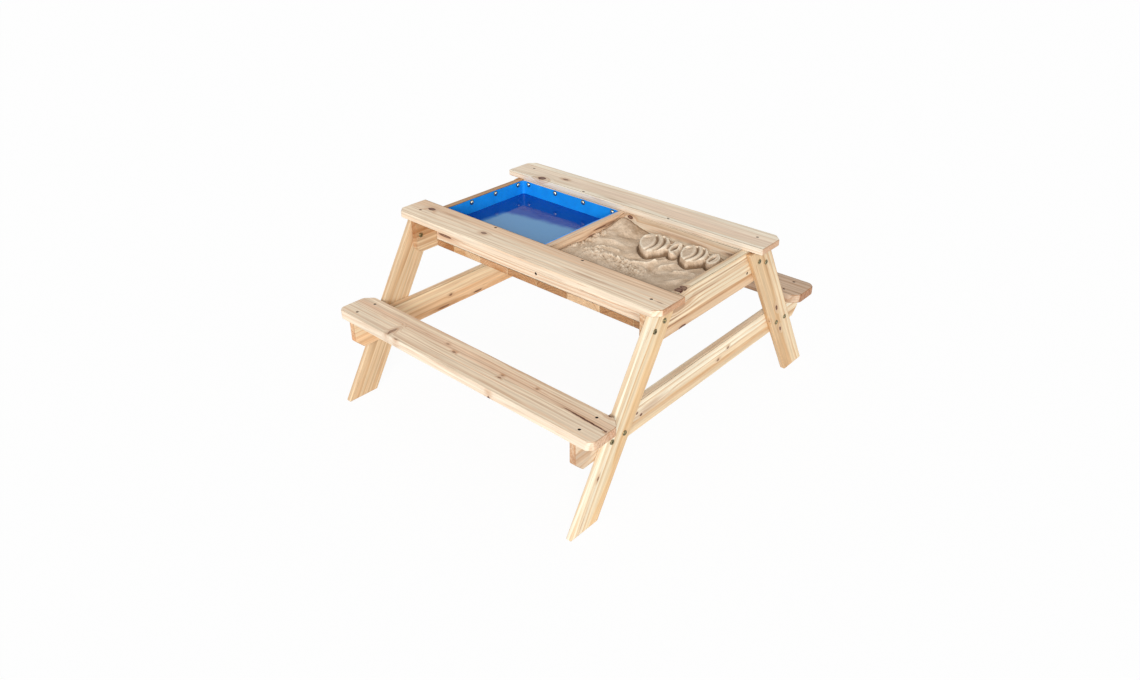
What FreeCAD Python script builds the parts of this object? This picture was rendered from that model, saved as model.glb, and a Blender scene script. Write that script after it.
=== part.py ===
import FreeCAD
import Part
import math
import os

from FreeCAD import Placement, Rotation, Vector

# A child's sand and water table with two benches, built from planed softwood.
# Millimetres. X runs along the planks, Y from the front bench to the back bench, Z is up,
# and the origin is on the ground under the middle of the table.
# The water bay is on the -X side of the divider and the sand bay on the +X side.

# ---- Driving dimensions ------------------------------------------------------------

# Table top: one plank along each side of the open tray
table_height = 492.0
top_plank_length = 900.0
top_plank_width = 103.0
top_plank_thickness = 18.0
top_corner_cut = 20.0
top_end_overhang = 42.0         # past the end boards

# Tray: a box of boards on edge, with a boarded floor
tray_width = 334.0              # inside, between the side boards
rail_thickness = 18.0           # end boards, side boards, divider and seat bearers
side_board_height = 83.0
floor_board_thickness = 20.0
floor_board_width = 106.0
floor_board_gap = 0.7
floor_end_setback = 1.0         # how far the floor boards stop short of the side boards' faces
end_board_setback = 14.0        # from the top plank's outer edge to the end board's end
end_board_corner_cut = 14.0

# Benches
seat_height = 270.0
seat_end_overhang = 46.0        # past the bearers
seat_plank_width = 108.0
seat_plank_thickness = 25.0
seat_corner_cut = 23.0
seat_to_leg_gap = 1.3
seat_overhang = 1.5             # the seat's outer edge past the bearer's end
bearer_height = 82.0
bearer_corner_cut = 26.0

# Legs
leg_thickness = 15.0
leg_width = 82.4                # square to the leg
leg_splay = 30.4                # degrees from upright
leg_setback = 20.0              # from the top plank's outer edge to the leg, at the plank
leg_top_gap = 5.0               # the leg's end below the plank

# Eased edges of the timber, planed off at 45 degrees
arris_ease = 2.0                # edges that hands and knees meet
butt_arris_ease = 1.0           # edges of boards that are hidden or butt against others

# Countersunk wood screws
screw_head_radius = 4.0
screw_head_depth = 2.4
screw_shank_radius = 2.1
screw_point_length = 5.0
screw_sink = 0.8                # head below the surface
screw_clearance = 0.15
screw_sides = 6                 # flats that stand for the round of a screw
plank_screw_length = 50.0
floor_screw_length = 34.0
plank_screw_setback = 44.0      # from the top plank's outer edge
plank_screw_pitch = 304.0       # between the two screws in one side board
seat_screw_setback = 25.0       # from both long edges of the seat
tray_screw_inset = 18.0         # from the top and bottom edges of a side board

# Leg bolts and the sleeve nuts on their inner ends
bolt_head_radius = 6.6
bolt_head_height = 2.5
bolt_shank_radius = 3.0
bolt_socket_flats = 5.0
bolt_socket_depth = 1.8
bolt_end_gap = 2.5              # from the bolt's end to the rail's inner face
bolt_hole_clearance = 0.3
head_chamfer = 0.8
bolt_sides = 8                  # flats that stand for the round of a bolt or stud
sleeve_radius = 4.3
sleeve_length = 14.0
sleeve_hole_clearance = 0.2
thread_clearance = 0.1
upper_joint_drop = 44.0         # below the plank
upper_joint_inset = 5.0         # towards the tray from the leg's centre line
upper_bolt_spread = 37.6
upper_bolt_tilt = 21.5          # degrees, outer bolt lower
lower_joint_drop = 4.0          # below the middle of the bearer
lower_bolt_spread = 45.4

# Welded PVC liner of the water bay, held by domed studs on rubber washers
liner_thickness = 1.5
liner_clearance = 0.3
liner_rim_drop = 2.0            # below the top of the boards
liner_corner_cut = 6.0          # cut across its upright corners
liner_floor_cut = 4.0           # cut along its floor seam
studs_per_wall = 4
stud_corner_distance = 24.5
stud_drop = 11.0                # below the top of the boards
stud_head_radius = 5.3
stud_head_height = 2.8
stud_crown_radius = 3.4         # where the dome turns down to its edge
stud_shoulder_height = 2.1
stud_shank_radius = 1.5
stud_length = 12.0
stud_hole_clearance = 0.15
washer_radius = 7.4
washer_thickness = 1.4

# Loose fill
fill_clearance = 0.3
water_drop = 43.0               # surface below the top of the boards
sand_drop = 36.0                # level below the top of the boards
casting_height = 20.0           # of a fish turned out of a mould, above the sand around it
casting_draft = 0.92            # size of a casting's top against its base

# ---- Places worked out from the dimensions -----------------------------------------

DOWN = Vector(0, 0, -1)
UP = Vector(0, 0, 1)
SIDES_X = ((-1, "left"), (1, "right"))
SIDES_Y = ((-1, "front"), (1, "back"))

plank_underside = table_height - top_plank_thickness
side_inner_y = tray_width / 2
side_outer_y = side_inner_y + rail_thickness
side_centre_y = side_inner_y + rail_thickness / 2
plank_outer_y = side_inner_y + top_plank_width
side_bottom = plank_underside - side_board_height
tray_bottom = side_bottom - floor_board_thickness
end_outer_x = top_plank_length / 2 - top_end_overhang
end_inner_x = end_outer_x - rail_thickness
rail_centre_x = end_inner_x + rail_thickness / 2
leg_outer_x = end_outer_x + leg_thickness
end_board_half = plank_outer_y - end_board_setback

splay_slope = math.tan(math.radians(leg_splay))
leg_level_width = leg_width / math.cos(math.radians(leg_splay))
leg_top = plank_underside - leg_top_gap


def leg_outer_y(z):
    """Y of the back leg's outer edge at height z."""
    return plank_outer_y - leg_setback + (plank_underside - z) * splay_slope


def leg_centre_y(z):
    return leg_outer_y(z) - leg_level_width / 2


seat_underside = seat_height - seat_plank_thickness
seat_inner_y = leg_outer_y(seat_underside) + seat_to_leg_gap
seat_outer_y = seat_inner_y + seat_plank_width
bearer_half = seat_outer_y - seat_overhang
bearer_bottom = seat_underside - bearer_height

divider_half = rail_thickness / 2
liner_top = plank_underside - liner_rim_drop
water_top = plank_underside - water_drop
sand_level = plank_underside - sand_drop

# ---- Shape helpers -----------------------------------------------------------------


def block(x_range, y_range, z_range):
    """Rectangular solid between three pairs of limits."""
    size = [high - low for low, high in (x_range, y_range, z_range)]
    return Part.makeBox(*size, Vector(x_range[0], y_range[0], z_range[0]))


def polygon_face(points):
    return Part.Face(Part.makePolygon(points + points[:1]))


def prism(outline, along):
    """Solid swept from a closed outline of straight sides."""
    return polygon_face(outline).extrude(along)


def ring_points(radius, height, sides):
    """Corners of a level regular polygon about Z, or its one point where the radius is zero."""
    if radius == 0:
        return [Vector(0, 0, height)]
    angles = [2 * math.pi * i / sides for i in range(sides)]
    return [Vector(radius * math.cos(a), radius * math.sin(a), height) for a in angles]


def turned(profile, sides):
    """Solid about Z from (radius, height) points that start and end on the axis."""
    rings = [ring_points(radius, height, sides) for radius, height in profile]
    faces = []
    for lower, upper in zip(rings, rings[1:]):
        for i in range(sides):
            pair = [ring[j % len(ring)] for ring, j in
                    ((lower, i), (lower, i + 1), (upper, i + 1), (upper, i))]
            corners = [point for k, point in enumerate(pair) if point != pair[k - 1]]
            faces.append(polygon_face(corners))
    return Part.Solid(Part.Shell(faces)).removeSplitter()


def runs_along(edge, direction):
    """True for a straight edge parallel to a direction."""
    if not isinstance(edge.Curve, Part.Line):
        return False
    return edge.tangentAt(edge.FirstParameter).cross(direction).Length < 1e-6


def lies_in(edge, normal, offset):
    """True for an edge wholly in the plane at an offset along a unit normal."""
    ends = (edge.FirstParameter, edge.LastParameter)
    places = [edge.valueAt(parameter) for parameter in ends] + [edge.CenterOfMass]
    return all(abs(place.dot(normal) - offset) < 1e-6 for place in places)


def eased_rims(solid, normal, offsets, ease):
    """Plane off every edge that lies in the faces at the given offsets along a normal."""
    rims = [edge for edge in solid.Edges
            if any(lies_in(edge, normal, offset) for offset in offsets)]
    return solid.makeChamfer(ease, rims)


def eased_lengths(solid, direction, ease):
    """Plane off the straight edges that run along a direction."""
    return solid.makeChamfer(ease, [edge for edge in solid.Edges if runs_along(edge, direction)])


def mirrored(solid, x_side, y_side):
    """Copy of a solid built at +X, +Y, carried to the named side of the table."""
    if x_side < 0:
        solid = solid.mirror(Vector(0, 0, 0), Vector(1, 0, 0))
    if y_side < 0:
        solid = solid.mirror(Vector(0, 0, 0), Vector(0, 1, 0))
    return solid


def placed(solid, place, direction):
    """Copy of a solid built pointing down from the origin, set at a place to point elsewhere."""
    copy = solid.copy()
    copy.Placement = Placement(place, Rotation(DOWN, direction))
    return copy


def overlap_boxes(first, second):
    return first.BoundBox.intersect(second.BoundBox)


def drilled(board, tools):
    """The board with every hole that reaches it."""
    near = [tool for tool in tools if overlap_boxes(board, tool)]
    return board.cut(near) if near else board


# ---- Timber ------------------------------------------------------------------------


def plank_outline(half_length, y_inner, y_outer, z, cut, cut_inner):
    """Plan of a plank at +Y whose outer corners, and perhaps inner ones, are cut at 45 degrees."""
    inner_cut = cut if cut_inner else 0
    corners = [
        (half_length - inner_cut, y_inner), (half_length, y_inner + inner_cut),
        (half_length, y_outer - cut), (half_length - cut, y_outer),
        (cut - half_length, y_outer), (-half_length, y_outer - cut),
        (-half_length, y_inner + inner_cut), (inner_cut - half_length, y_inner),
    ]
    unique = [corner for i, corner in enumerate(corners) if corner != corners[i - 1]]
    return [Vector(x, y, z) for x, y in unique]


def top_plank():
    """Top plank at +Y: outer corners cut, inner corners square, edges eased."""
    outline = plank_outline(top_plank_length / 2, side_inner_y, plank_outer_y,
                            plank_underside, top_corner_cut, cut_inner=False)
    plank = prism(outline, UP * top_plank_thickness)
    return eased_rims(plank, UP, (plank_underside, table_height), arris_ease)


def seat_plank():
    """Seat plank at +Y, with all four corners cut."""
    outline = plank_outline(end_outer_x + seat_end_overhang, seat_inner_y, seat_outer_y,
                            seat_underside, seat_corner_cut, cut_inner=True)
    plank = prism(outline, UP * seat_plank_thickness)
    return eased_rims(plank, UP, (seat_underside, seat_height), arris_ease)


def cross_rail(half_length, bottom, height, cut):
    """Board on edge across the table at +X, with its two lower corners cut."""
    outline = [
        (-half_length, bottom + height), (-half_length, bottom + cut),
        (cut - half_length, bottom), (half_length - cut, bottom),
        (half_length, bottom + cut), (half_length, bottom + height),
    ]
    rail = prism([Vector(end_inner_x, y, z) for y, z in outline], Vector(rail_thickness, 0, 0))
    return eased_rims(rail, Vector(1, 0, 0), (end_inner_x, end_outer_x), arris_ease)


def side_board():
    """Long side of the tray at +Y, butting against both end boards."""
    board = block((-end_inner_x, end_inner_x), (side_inner_y, side_outer_y),
                  (side_bottom, plank_underside))
    return eased_lengths(board, Vector(1, 0, 0), butt_arris_ease)


def divider():
    """Board between the water bay and the sand bay, standing on the tray floor."""
    board = block((-divider_half, divider_half), (-side_inner_y, side_inner_y),
                  (side_bottom, plank_underside))
    return eased_lengths(board, Vector(0, 1, 0), butt_arris_ease)


def floor_board_ranges():
    """X ranges of the floor boards, laid out both ways from the middle joint."""
    pitch = floor_board_width + floor_board_gap
    right = []
    low = floor_board_gap / 2
    while low < end_inner_x - floor_board_gap:
        right.append((low, min(low + floor_board_width, end_inner_x)))
        low += pitch
    left = [(-high, -low) for low, high in reversed(right)]
    return left + right


def floor_board(x_range):
    """Floor board across the tray, under the side boards and the divider."""
    reach = side_outer_y - floor_end_setback
    board = block(x_range, (-reach, reach), (tray_bottom, side_bottom))
    return eased_lengths(board, Vector(0, 1, 0), butt_arris_ease)


def leg():
    """Splayed leg at +X, +Y, cut level at the foot and under the top plank."""
    outline = [
        (leg_outer_y(0), 0), (leg_outer_y(leg_top), leg_top),
        (leg_outer_y(leg_top) - leg_level_width, leg_top),
        (leg_outer_y(0) - leg_level_width, 0),
    ]
    board = prism([Vector(end_outer_x, y, z) for y, z in outline], Vector(leg_thickness, 0, 0))
    return eased_rims(board, Vector(1, 0, 0), (end_outer_x, leg_outer_x), arris_ease)


# ---- Fasteners, built pointing down from the origin --------------------------------


def wood_screw(length):
    """Countersunk screw whose head lies just under the surface at z = 0."""
    neck = screw_sink + screw_head_depth
    return turned([
        (0, -screw_sink), (screw_head_radius, -screw_sink), (screw_shank_radius, -neck),
        (screw_shank_radius, screw_point_length - length), (0, -length),
    ], screw_sides)


def wood_screw_hole(length):
    """Sunk countersink and pilot hole for a wood screw."""
    mouth = screw_head_radius + screw_clearance
    pilot = screw_shank_radius + screw_clearance
    return turned([
        (0, 0), (mouth, 0), (mouth, -screw_sink),
        (pilot, -screw_sink - screw_head_depth), (pilot, -length - screw_clearance),
        (0, -length - screw_clearance),
    ], screw_sides)


def leg_bolt():
    """Hexagon socket bolt through a leg and a rail, head on the leg's outer face."""
    grip = leg_thickness + rail_thickness
    body = turned([
        (0, bolt_head_height), (bolt_head_radius - head_chamfer, bolt_head_height),
        (bolt_head_radius, bolt_head_height - head_chamfer), (bolt_head_radius, 0),
        (bolt_shank_radius, 0), (bolt_shank_radius, bolt_end_gap - grip),
        (0, bolt_end_gap - grip),
    ], bolt_sides)
    socket_floor = bolt_head_height - bolt_socket_depth
    hexagon = ring_points(bolt_socket_flats / math.sqrt(3), socket_floor, 6)
    return body.cut(prism(hexagon, UP * bolt_socket_depth))


def sleeve_nut():
    """Flanged sleeve on a bolt's inner end, in the same frame as its bolt."""
    inner_face = -leg_thickness - rail_thickness
    bore = bolt_shank_radius + thread_clearance
    mouth = inner_face + sleeve_length
    return turned([
        (0, inner_face - bolt_head_height),
        (bolt_head_radius - head_chamfer, inner_face - bolt_head_height),
        (bolt_head_radius, inner_face - bolt_head_height + head_chamfer),
        (bolt_head_radius, inner_face), (sleeve_radius, inner_face), (sleeve_radius, mouth),
        (bore, mouth), (bore, inner_face), (0, inner_face),
    ], bolt_sides)


def leg_bolt_hole():
    """Stepped hole: bolt size through the leg, sleeve size through the rail."""
    narrow = bolt_shank_radius + bolt_hole_clearance
    wide = sleeve_radius + sleeve_hole_clearance
    back = -leg_thickness - rail_thickness
    return turned([
        (0, 0), (narrow, 0), (narrow, -leg_thickness), (wide, -leg_thickness),
        (wide, back), (0, back),
    ], bolt_sides)


def liner_washer():
    """Rubber washer between a stud's dome and the liner at z = 0."""
    disc = turned([(0, 0), (washer_radius, 0), (washer_radius, washer_thickness),
                   (0, washer_thickness)], bolt_sides)
    return disc.cut(stud_hole().translated(UP * washer_thickness))


def liner_stud():
    """Domed stud that sits on its washer and is driven through the liner into the board."""
    shoulder = washer_thickness + stud_shoulder_height
    return turned([
        (0, washer_thickness + stud_head_height), (stud_crown_radius, shoulder),
        (stud_head_radius, washer_thickness), (stud_shank_radius, washer_thickness),
        (stud_shank_radius, stud_shank_radius - stud_length), (0, -stud_length),
    ], bolt_sides)


def stud_hole():
    """Hole for a stud through the liner and into the board."""
    radius = stud_shank_radius + stud_hole_clearance
    depth = stud_length + stud_hole_clearance
    return turned([(0, 0), (radius, 0), (radius, -depth), (0, -depth)], bolt_sides)


# ---- Fastener sites: a place on the surface and the direction driven ----------------

corners = [(x_side, y_side) for x_side, _ in SIDES_X for y_side, _ in SIDES_Y]


def mirrored_sites(points, direction):
    """Sites at all four quarters from points and a direction given at +X, +Y."""
    sites = []
    for x_side, y_side in corners:
        for point in points:
            turned = Vector(direction.x * x_side, direction.y * y_side, direction.z)
            sites.append((Vector(point.x * x_side, point.y * y_side, point.z), turned))
    return sites


tray_screw_heights = (side_bottom + tray_screw_inset, plank_underside - tray_screw_inset)

plank_sites = mirrored_sites([
    Vector(rail_centre_x, plank_outer_y - plank_screw_setback, table_height),
    Vector(plank_screw_pitch / 2, side_centre_y, table_height)], DOWN)
seat_sites = mirrored_sites([
    Vector(rail_centre_x, seat_inner_y + seat_screw_setback, seat_height),
    Vector(rail_centre_x, seat_outer_y - seat_screw_setback, seat_height)], DOWN)
tray_end_sites = mirrored_sites(
    [Vector(end_outer_x, side_centre_y, z) for z in tray_screw_heights], Vector(-1, 0, 0))
divider_sites = [(Vector(0, y_side * side_outer_y, z), Vector(0, -y_side, 0))
                 for y_side, _ in SIDES_Y for z in tray_screw_heights]
floor_sites = [(Vector(sum(x_range) / 2, y_side * side_centre_y, tray_bottom), UP)
               for x_range in floor_board_ranges() for y_side, _ in SIDES_Y]

upper_joint_z = plank_underside - upper_joint_drop
upper_joint_y = leg_centre_y(upper_joint_z) - upper_joint_inset
tilt = math.radians(upper_bolt_tilt)
upper_bolts = [Vector(leg_outer_x, upper_joint_y + half * math.cos(tilt),
                      upper_joint_z - half * math.sin(tilt))
               for half in (-upper_bolt_spread / 2, upper_bolt_spread / 2)]
lower_joint_z = bearer_bottom + bearer_height / 2 - lower_joint_drop
lower_bolts = [Vector(leg_outer_x, leg_centre_y(lower_joint_z) + half, lower_joint_z)
               for half in (-lower_bolt_spread / 2, lower_bolt_spread / 2)]
upper_bolt_sites = mirrored_sites(upper_bolts, Vector(-1, 0, 0))
lower_bolt_sites = mirrored_sites(lower_bolts, Vector(-1, 0, 0))

# ---- Water liner -------------------------------------------------------------------

liner_x = (-end_inner_x + liner_clearance, -divider_half - liner_clearance)
liner_y = (-side_inner_y + liner_clearance, side_inner_y - liner_clearance)
liner_bottom = side_bottom + liner_clearance


def bay_body(inset, top):
    """Body of the water bay with cut corners, inset evenly from the liner's outside."""
    body = block((liner_x[0] + inset, liner_x[1] - inset), (liner_y[0] + inset, liner_y[1] - inset),
                 (liner_bottom + inset, top))
    less = inset * (2 - math.sqrt(2))
    body = eased_lengths(body, UP, liner_corner_cut - less)
    return eased_rims(body, UP, (liner_bottom + inset,), liner_floor_cut - less)


def evenly(low, high, count):
    """Evenly spaced places between two limits, both included."""
    return [low + (high - low) * i / (count - 1) for i in range(count)]


def liner_stud_sites():
    """Stud places on the liner's four inner faces, driven outwards."""
    z = plank_underside - stud_drop
    face_x = (liner_x[0] + liner_thickness, liner_x[1] - liner_thickness)
    face_y = (liner_y[0] + liner_thickness, liner_y[1] - liner_thickness)
    along_x = evenly(-end_inner_x + stud_corner_distance, -divider_half - stud_corner_distance,
                     studs_per_wall)
    along_y = evenly(-side_inner_y + stud_corner_distance, side_inner_y - stud_corner_distance,
                     studs_per_wall)
    sites = []
    for face, outwards in zip(face_x, (-1, 1)):
        sites += [(Vector(face, y, z), Vector(outwards, 0, 0)) for y in along_y]
    for face, outwards in zip(face_y, (-1, 1)):
        sites += [(Vector(x, face, z), Vector(0, outwards, 0)) for x in along_x]
    return sites


stud_sites = liner_stud_sites()

# ---- Sand --------------------------------------------------------------------------

sand_x = (divider_half + fill_clearance, end_inner_x - fill_clearance)
sand_y = (-side_inner_y + fill_clearance, side_inner_y - fill_clearance)
sand_floor = side_bottom + fill_clearance

# Mounds and hollows: place as shares of the bay's length and width, height and spread
sand_mounds = [
    (0.018, 0.950, 22.4, 40.0), (0.028, 0.680, 13.1, 70.0), (0.028, 0.260, 14.2, 70.0),
    (0.212, 0.320, 12.8, 45.0), (0.338, 0.950, -7.3, 55.0), (0.501, 0.410, -1.7, 60.0),
    (0.659, 0.959, -11.3, 55.0), (0.817, 0.680, -5.3, 60.0), (0.764, 0.170, 7.1, 70.0),
    (0.975, 0.440, 7.5, 60.0), (0.985, 0.980, 10.8, 40.0),
]
sand_columns = 14
sand_rows = 12

# Fish castings: place as shares of the bay, base against the sand level, and turn in degrees
fish_castings = [(0.4225, 0.758, -1.0, 18.0), (0.743, 0.794, -6.0, 12.0)]

# Half outline of a casting from its nose along the back to the notch of its tail
fish_outline = [
    (-46.0, 0.0), (-37.0, 32.0), (-13.0, 52.0), (14.0, 48.0),
    (36.0, 24.0), (44.0, 14.0), (78.0, 33.0), (70.0, 0.0),
]


def between(limits, share):
    return limits[0] + share * (limits[1] - limits[0])


def sand_height(x, y):
    """Height of the raked and heaped sand."""
    height = sand_level
    for share_x, share_y, rise, spread in sand_mounds:
        reach_x = x - between(sand_x, share_x)
        reach_y = y - between(sand_y, share_y)
        height += rise * math.exp(-(reach_x ** 2 + reach_y ** 2) / spread ** 2)
    return height


def heaped_sand():
    """Sand filling its bay, with a surface of flat triangles between grid points."""
    grid = [[Vector(x, y, sand_height(x, y)) for y in evenly(*sand_y, sand_rows)]
            for x in evenly(*sand_x, sand_columns)]
    faces = []
    for near, far in zip(grid, grid[1:]):
        for j in range(sand_rows - 1):
            faces.append(polygon_face([near[j], far[j], far[j + 1]]))
            faces.append(polygon_face([near[j], far[j + 1], near[j + 1]]))
    rims = (grid[0], grid[-1], [row[0] for row in grid], [row[-1] for row in grid])
    for rim in rims:
        feet = [Vector(point.x, point.y, sand_floor) for point in (rim[-1], rim[0])]
        faces.append(polygon_face(rim + feet))
    floor = [(sand_x[0], sand_y[0]), (sand_x[1], sand_y[0]),
             (sand_x[1], sand_y[1]), (sand_x[0], sand_y[1])]
    faces.append(polygon_face([Vector(x, y, sand_floor) for x, y in floor]))
    return Part.Solid(Part.Shell(faces))


def fish_casting():
    """Fish turned out of a mould, nose towards -X, standing on z = 0 and rooted below it."""
    half = fish_outline[1:-1]
    outline = fish_outline + [(x, -y) for x, y in reversed(half)]
    base = [Vector(x, y, -casting_height) for x, y in outline]
    spread = 2 - casting_draft
    rings = [[Vector(point.x * spread, point.y * spread, -casting_height) for point in base],
             [Vector(point.x * casting_draft, point.y * casting_draft, casting_height)
              for point in base]]
    faces = [polygon_face(ring) for ring in rings]
    for i in range(len(base)):
        faces.append(polygon_face([rings[0][i - 1], rings[0][i], rings[1][i], rings[1][i - 1]]))
    return Part.Solid(Part.Shell(faces))


def sand_fill():
    """Heaped sand with the castings standing on it."""
    sand = heaped_sand()
    for share_x, share_y, rise, turn in fish_castings:
        place = Vector(between(sand_x, share_x), between(sand_y, share_y), sand_level + rise)
        casting = fish_casting()
        casting.Placement = Placement(place, Rotation(UP, turn))
        sand = sand.fuse(casting)
    return sand


# ---- Assembly ----------------------------------------------------------------------

fasteners = {
    "top_plank_screws": (plank_sites, wood_screw(plank_screw_length)),
    "seat_screws": (seat_sites, wood_screw(plank_screw_length)),
    "tray_end_screws": (tray_end_sites, wood_screw(plank_screw_length)),
    "divider_screws": (divider_sites, wood_screw(plank_screw_length)),
    "floor_screws": (floor_sites, wood_screw(floor_screw_length)),
    "upper_leg_bolts": (upper_bolt_sites, leg_bolt()),
    "upper_sleeve_nuts": (upper_bolt_sites, sleeve_nut()),
    "lower_leg_bolts": (lower_bolt_sites, leg_bolt()),
    "lower_sleeve_nuts": (lower_bolt_sites, sleeve_nut()),
    "liner_studs": (stud_sites, liner_stud()),
    "liner_washers": (stud_sites, liner_washer()),
}
drills = [
    (plank_sites + seat_sites + tray_end_sites + divider_sites,
     wood_screw_hole(plank_screw_length)),
    (floor_sites, wood_screw_hole(floor_screw_length)),
    (upper_bolt_sites + lower_bolt_sites, leg_bolt_hole()),
    (stud_sites, stud_hole()),
]
hole_tools = [placed(tool, place, direction)
              for sites, tool in drills for place, direction in sites]

boards = {"tray_divider": divider()}
for y_side, y_name in SIDES_Y:
    boards["top_plank_" + y_name] = mirrored(top_plank(), 1, y_side)
    boards["seat_plank_" + y_name] = mirrored(seat_plank(), 1, y_side)
    boards["tray_side_" + y_name] = mirrored(side_board(), 1, y_side)
for x_side, x_name in SIDES_X:
    end_board = cross_rail(end_board_half, tray_bottom, plank_underside - tray_bottom,
                           end_board_corner_cut)
    bearer = cross_rail(bearer_half, bearer_bottom, bearer_height, bearer_corner_cut)
    boards["tray_end_" + x_name] = mirrored(end_board, x_side, 1)
    boards["seat_bearer_" + x_name] = mirrored(bearer, x_side, 1)
    for y_side, y_name in SIDES_Y:
        boards["leg_" + y_name + "_" + x_name] = mirrored(leg(), x_side, y_side)
for number, x_range in enumerate(floor_board_ranges(), start=1):
    boards["floor_board_" + str(number)] = floor_board(x_range)

parts = {name: drilled(board, hole_tools) for name, board in boards.items()}

liner = bay_body(0, liner_top).cut(bay_body(liner_thickness, plank_underside))
parts["water_liner"] = drilled(liner, hole_tools)
parts["water_fill"] = bay_body(liner_thickness + fill_clearance, water_top)
parts["sand_fill"] = sand_fill()
for name, (sites, fastener) in fasteners.items():
    parts[name] = Part.makeCompound([placed(fastener, place, direction)
                                     for place, direction in sites])

os.makedirs("parts", exist_ok=True)
for name, shape in parts.items():
    shape.exportStep("parts/" + name + ".step")
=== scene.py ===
import math
import random
from functools import partial

import bmesh
import bpy
import numpy as np
from bpy.props import FloatProperty, FloatVectorProperty, IntProperty, PointerProperty
from mathutils import Matrix, Vector, noise


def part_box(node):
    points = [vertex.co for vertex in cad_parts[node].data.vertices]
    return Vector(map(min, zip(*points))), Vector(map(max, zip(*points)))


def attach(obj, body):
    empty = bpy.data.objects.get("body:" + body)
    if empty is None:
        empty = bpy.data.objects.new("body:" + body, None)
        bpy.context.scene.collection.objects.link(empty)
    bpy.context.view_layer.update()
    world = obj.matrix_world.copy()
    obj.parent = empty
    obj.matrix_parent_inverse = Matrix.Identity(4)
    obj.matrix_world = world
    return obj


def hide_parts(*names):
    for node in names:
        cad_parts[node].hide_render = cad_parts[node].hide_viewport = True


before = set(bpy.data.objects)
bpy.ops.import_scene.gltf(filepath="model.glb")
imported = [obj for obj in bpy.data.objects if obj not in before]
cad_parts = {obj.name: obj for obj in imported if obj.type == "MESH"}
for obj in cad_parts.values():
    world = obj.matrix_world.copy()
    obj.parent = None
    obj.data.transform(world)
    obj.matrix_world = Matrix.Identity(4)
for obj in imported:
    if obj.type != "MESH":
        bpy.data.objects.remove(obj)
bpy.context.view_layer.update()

bl_info = {
    "name": "Sand and Water Table",
    "version": (1, 0, 0),
    "blender": (4, 5, 0),
    "location": "View3D > Sidebar > Play Table",
    "description": "Dresses a child's sand and water table: timber, hardware, liner, water and sand",
    "category": "Object",
}

# Lengths are in metres unless a name or comment says mm. X runs along the planks, Y from the
# front bench to the back bench, Z is up. The water bay is at -X and the sand bay at +X.

MM = 0.001
X, Y, Z = Vector((1, 0, 0)), Vector((0, 1, 0)), Vector((0, 0, 1))
ARRIS_STEPS = 4                 # facets across an eased edge
ARC_TURN = math.radians(15)     # turn of each facet round a sawn corner
STRAIGHT = 0.9999               # above this, two outward directions belong to one straight edge
SHARP_DEGREES = 38              # edges that turn by more are shaded as sharp
KNOT_DEPTH = 14.0               # mm that a knot reaches into a board
SEED_STEP = 913.0               # mm along the trunk from one board's cut to the next
LONG_SCREW, FLOOR_SCREW = 49.2, 33.2    # lengths of the wood screws in mm
LONG_SCREW_NODES = ("top_plank_screws", "seat_screws", "tray_end_screws", "divider_screws")
HOLE_SIDES = 24                 # facets round a drilled hole
WATER_RINGS = 30                # rings of points across the water's surface


# ---- Settings ------------------------------------------------------------------------


def hex_colour(code):
    """Linear colour with alpha from an sRGB hex code."""
    parts = [int(code[i:i + 2], 16) / 255 for i in (1, 3, 5)]
    return [c / 12.92 if c <= 0.04045 else ((c + 0.055) / 1.055) ** 2.4 for c in parts] + [1.0]


def a_length(name, description, default_mm):
    return FloatProperty(name=name, description=description, default=default_mm * MM,
                         unit="LENGTH", precision=4)


def a_share(name, description, default):
    return FloatProperty(name=name, description=description, default=default, subtype="FACTOR")


def an_angle(name, description, degrees):
    return FloatProperty(name=name, description=description, default=math.radians(degrees),
                         subtype="ANGLE")


def a_turn(name, description, degrees):
    return FloatVectorProperty(name=name, description=description, subtype="EULER",
                               default=[math.radians(turn) for turn in degrees])


def a_colour(name, description, code):
    return FloatVectorProperty(name=name, description=description, default=hex_colour(code),
                               size=4, min=0.0, max=1.0, subtype="COLOR")


class TimberSettings(bpy.types.PropertyGroup):
    arris: a_length("Eased edge", "Radius of the rounded long edges", 3.2)
    wear: a_share("Edge wear", "How unevenly the edges were sanded and worn", 0.5)
    wear_length: a_length("Wear length", "Distance over which the wear changes", 60.0)
    cut_corner: a_length("Cut corner", "Rounding where a corner was sawn off", 7.0)
    seat_corner: a_length("Seat corner", "Rounding of the seats' sawn corners", 15.0)
    square_corner: a_length("Square corner", "Rounding of a corner left square", 1.6)
    step: a_length("Step", "Greatest distance between points along a straight edge", 15.0)
    leg_splay: an_angle("Leg splay", "Lean of the legs from upright", 30.4)
    knot: a_colour("Knot", "Core of a knot", "#52200A")
    halo: a_colour("Knot's halo", "Wood round a knot", "#B57F55")
    resin: a_colour("Resin", "Resin streaks", "#B0744C")
    foul: a_colour("Foul ends", "Tint that dirt lays over the end grain", "#C98F5C")
    bruise: a_colour("Bruised ends", "Arris round a sawn end", "#8E5A2C")


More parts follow.
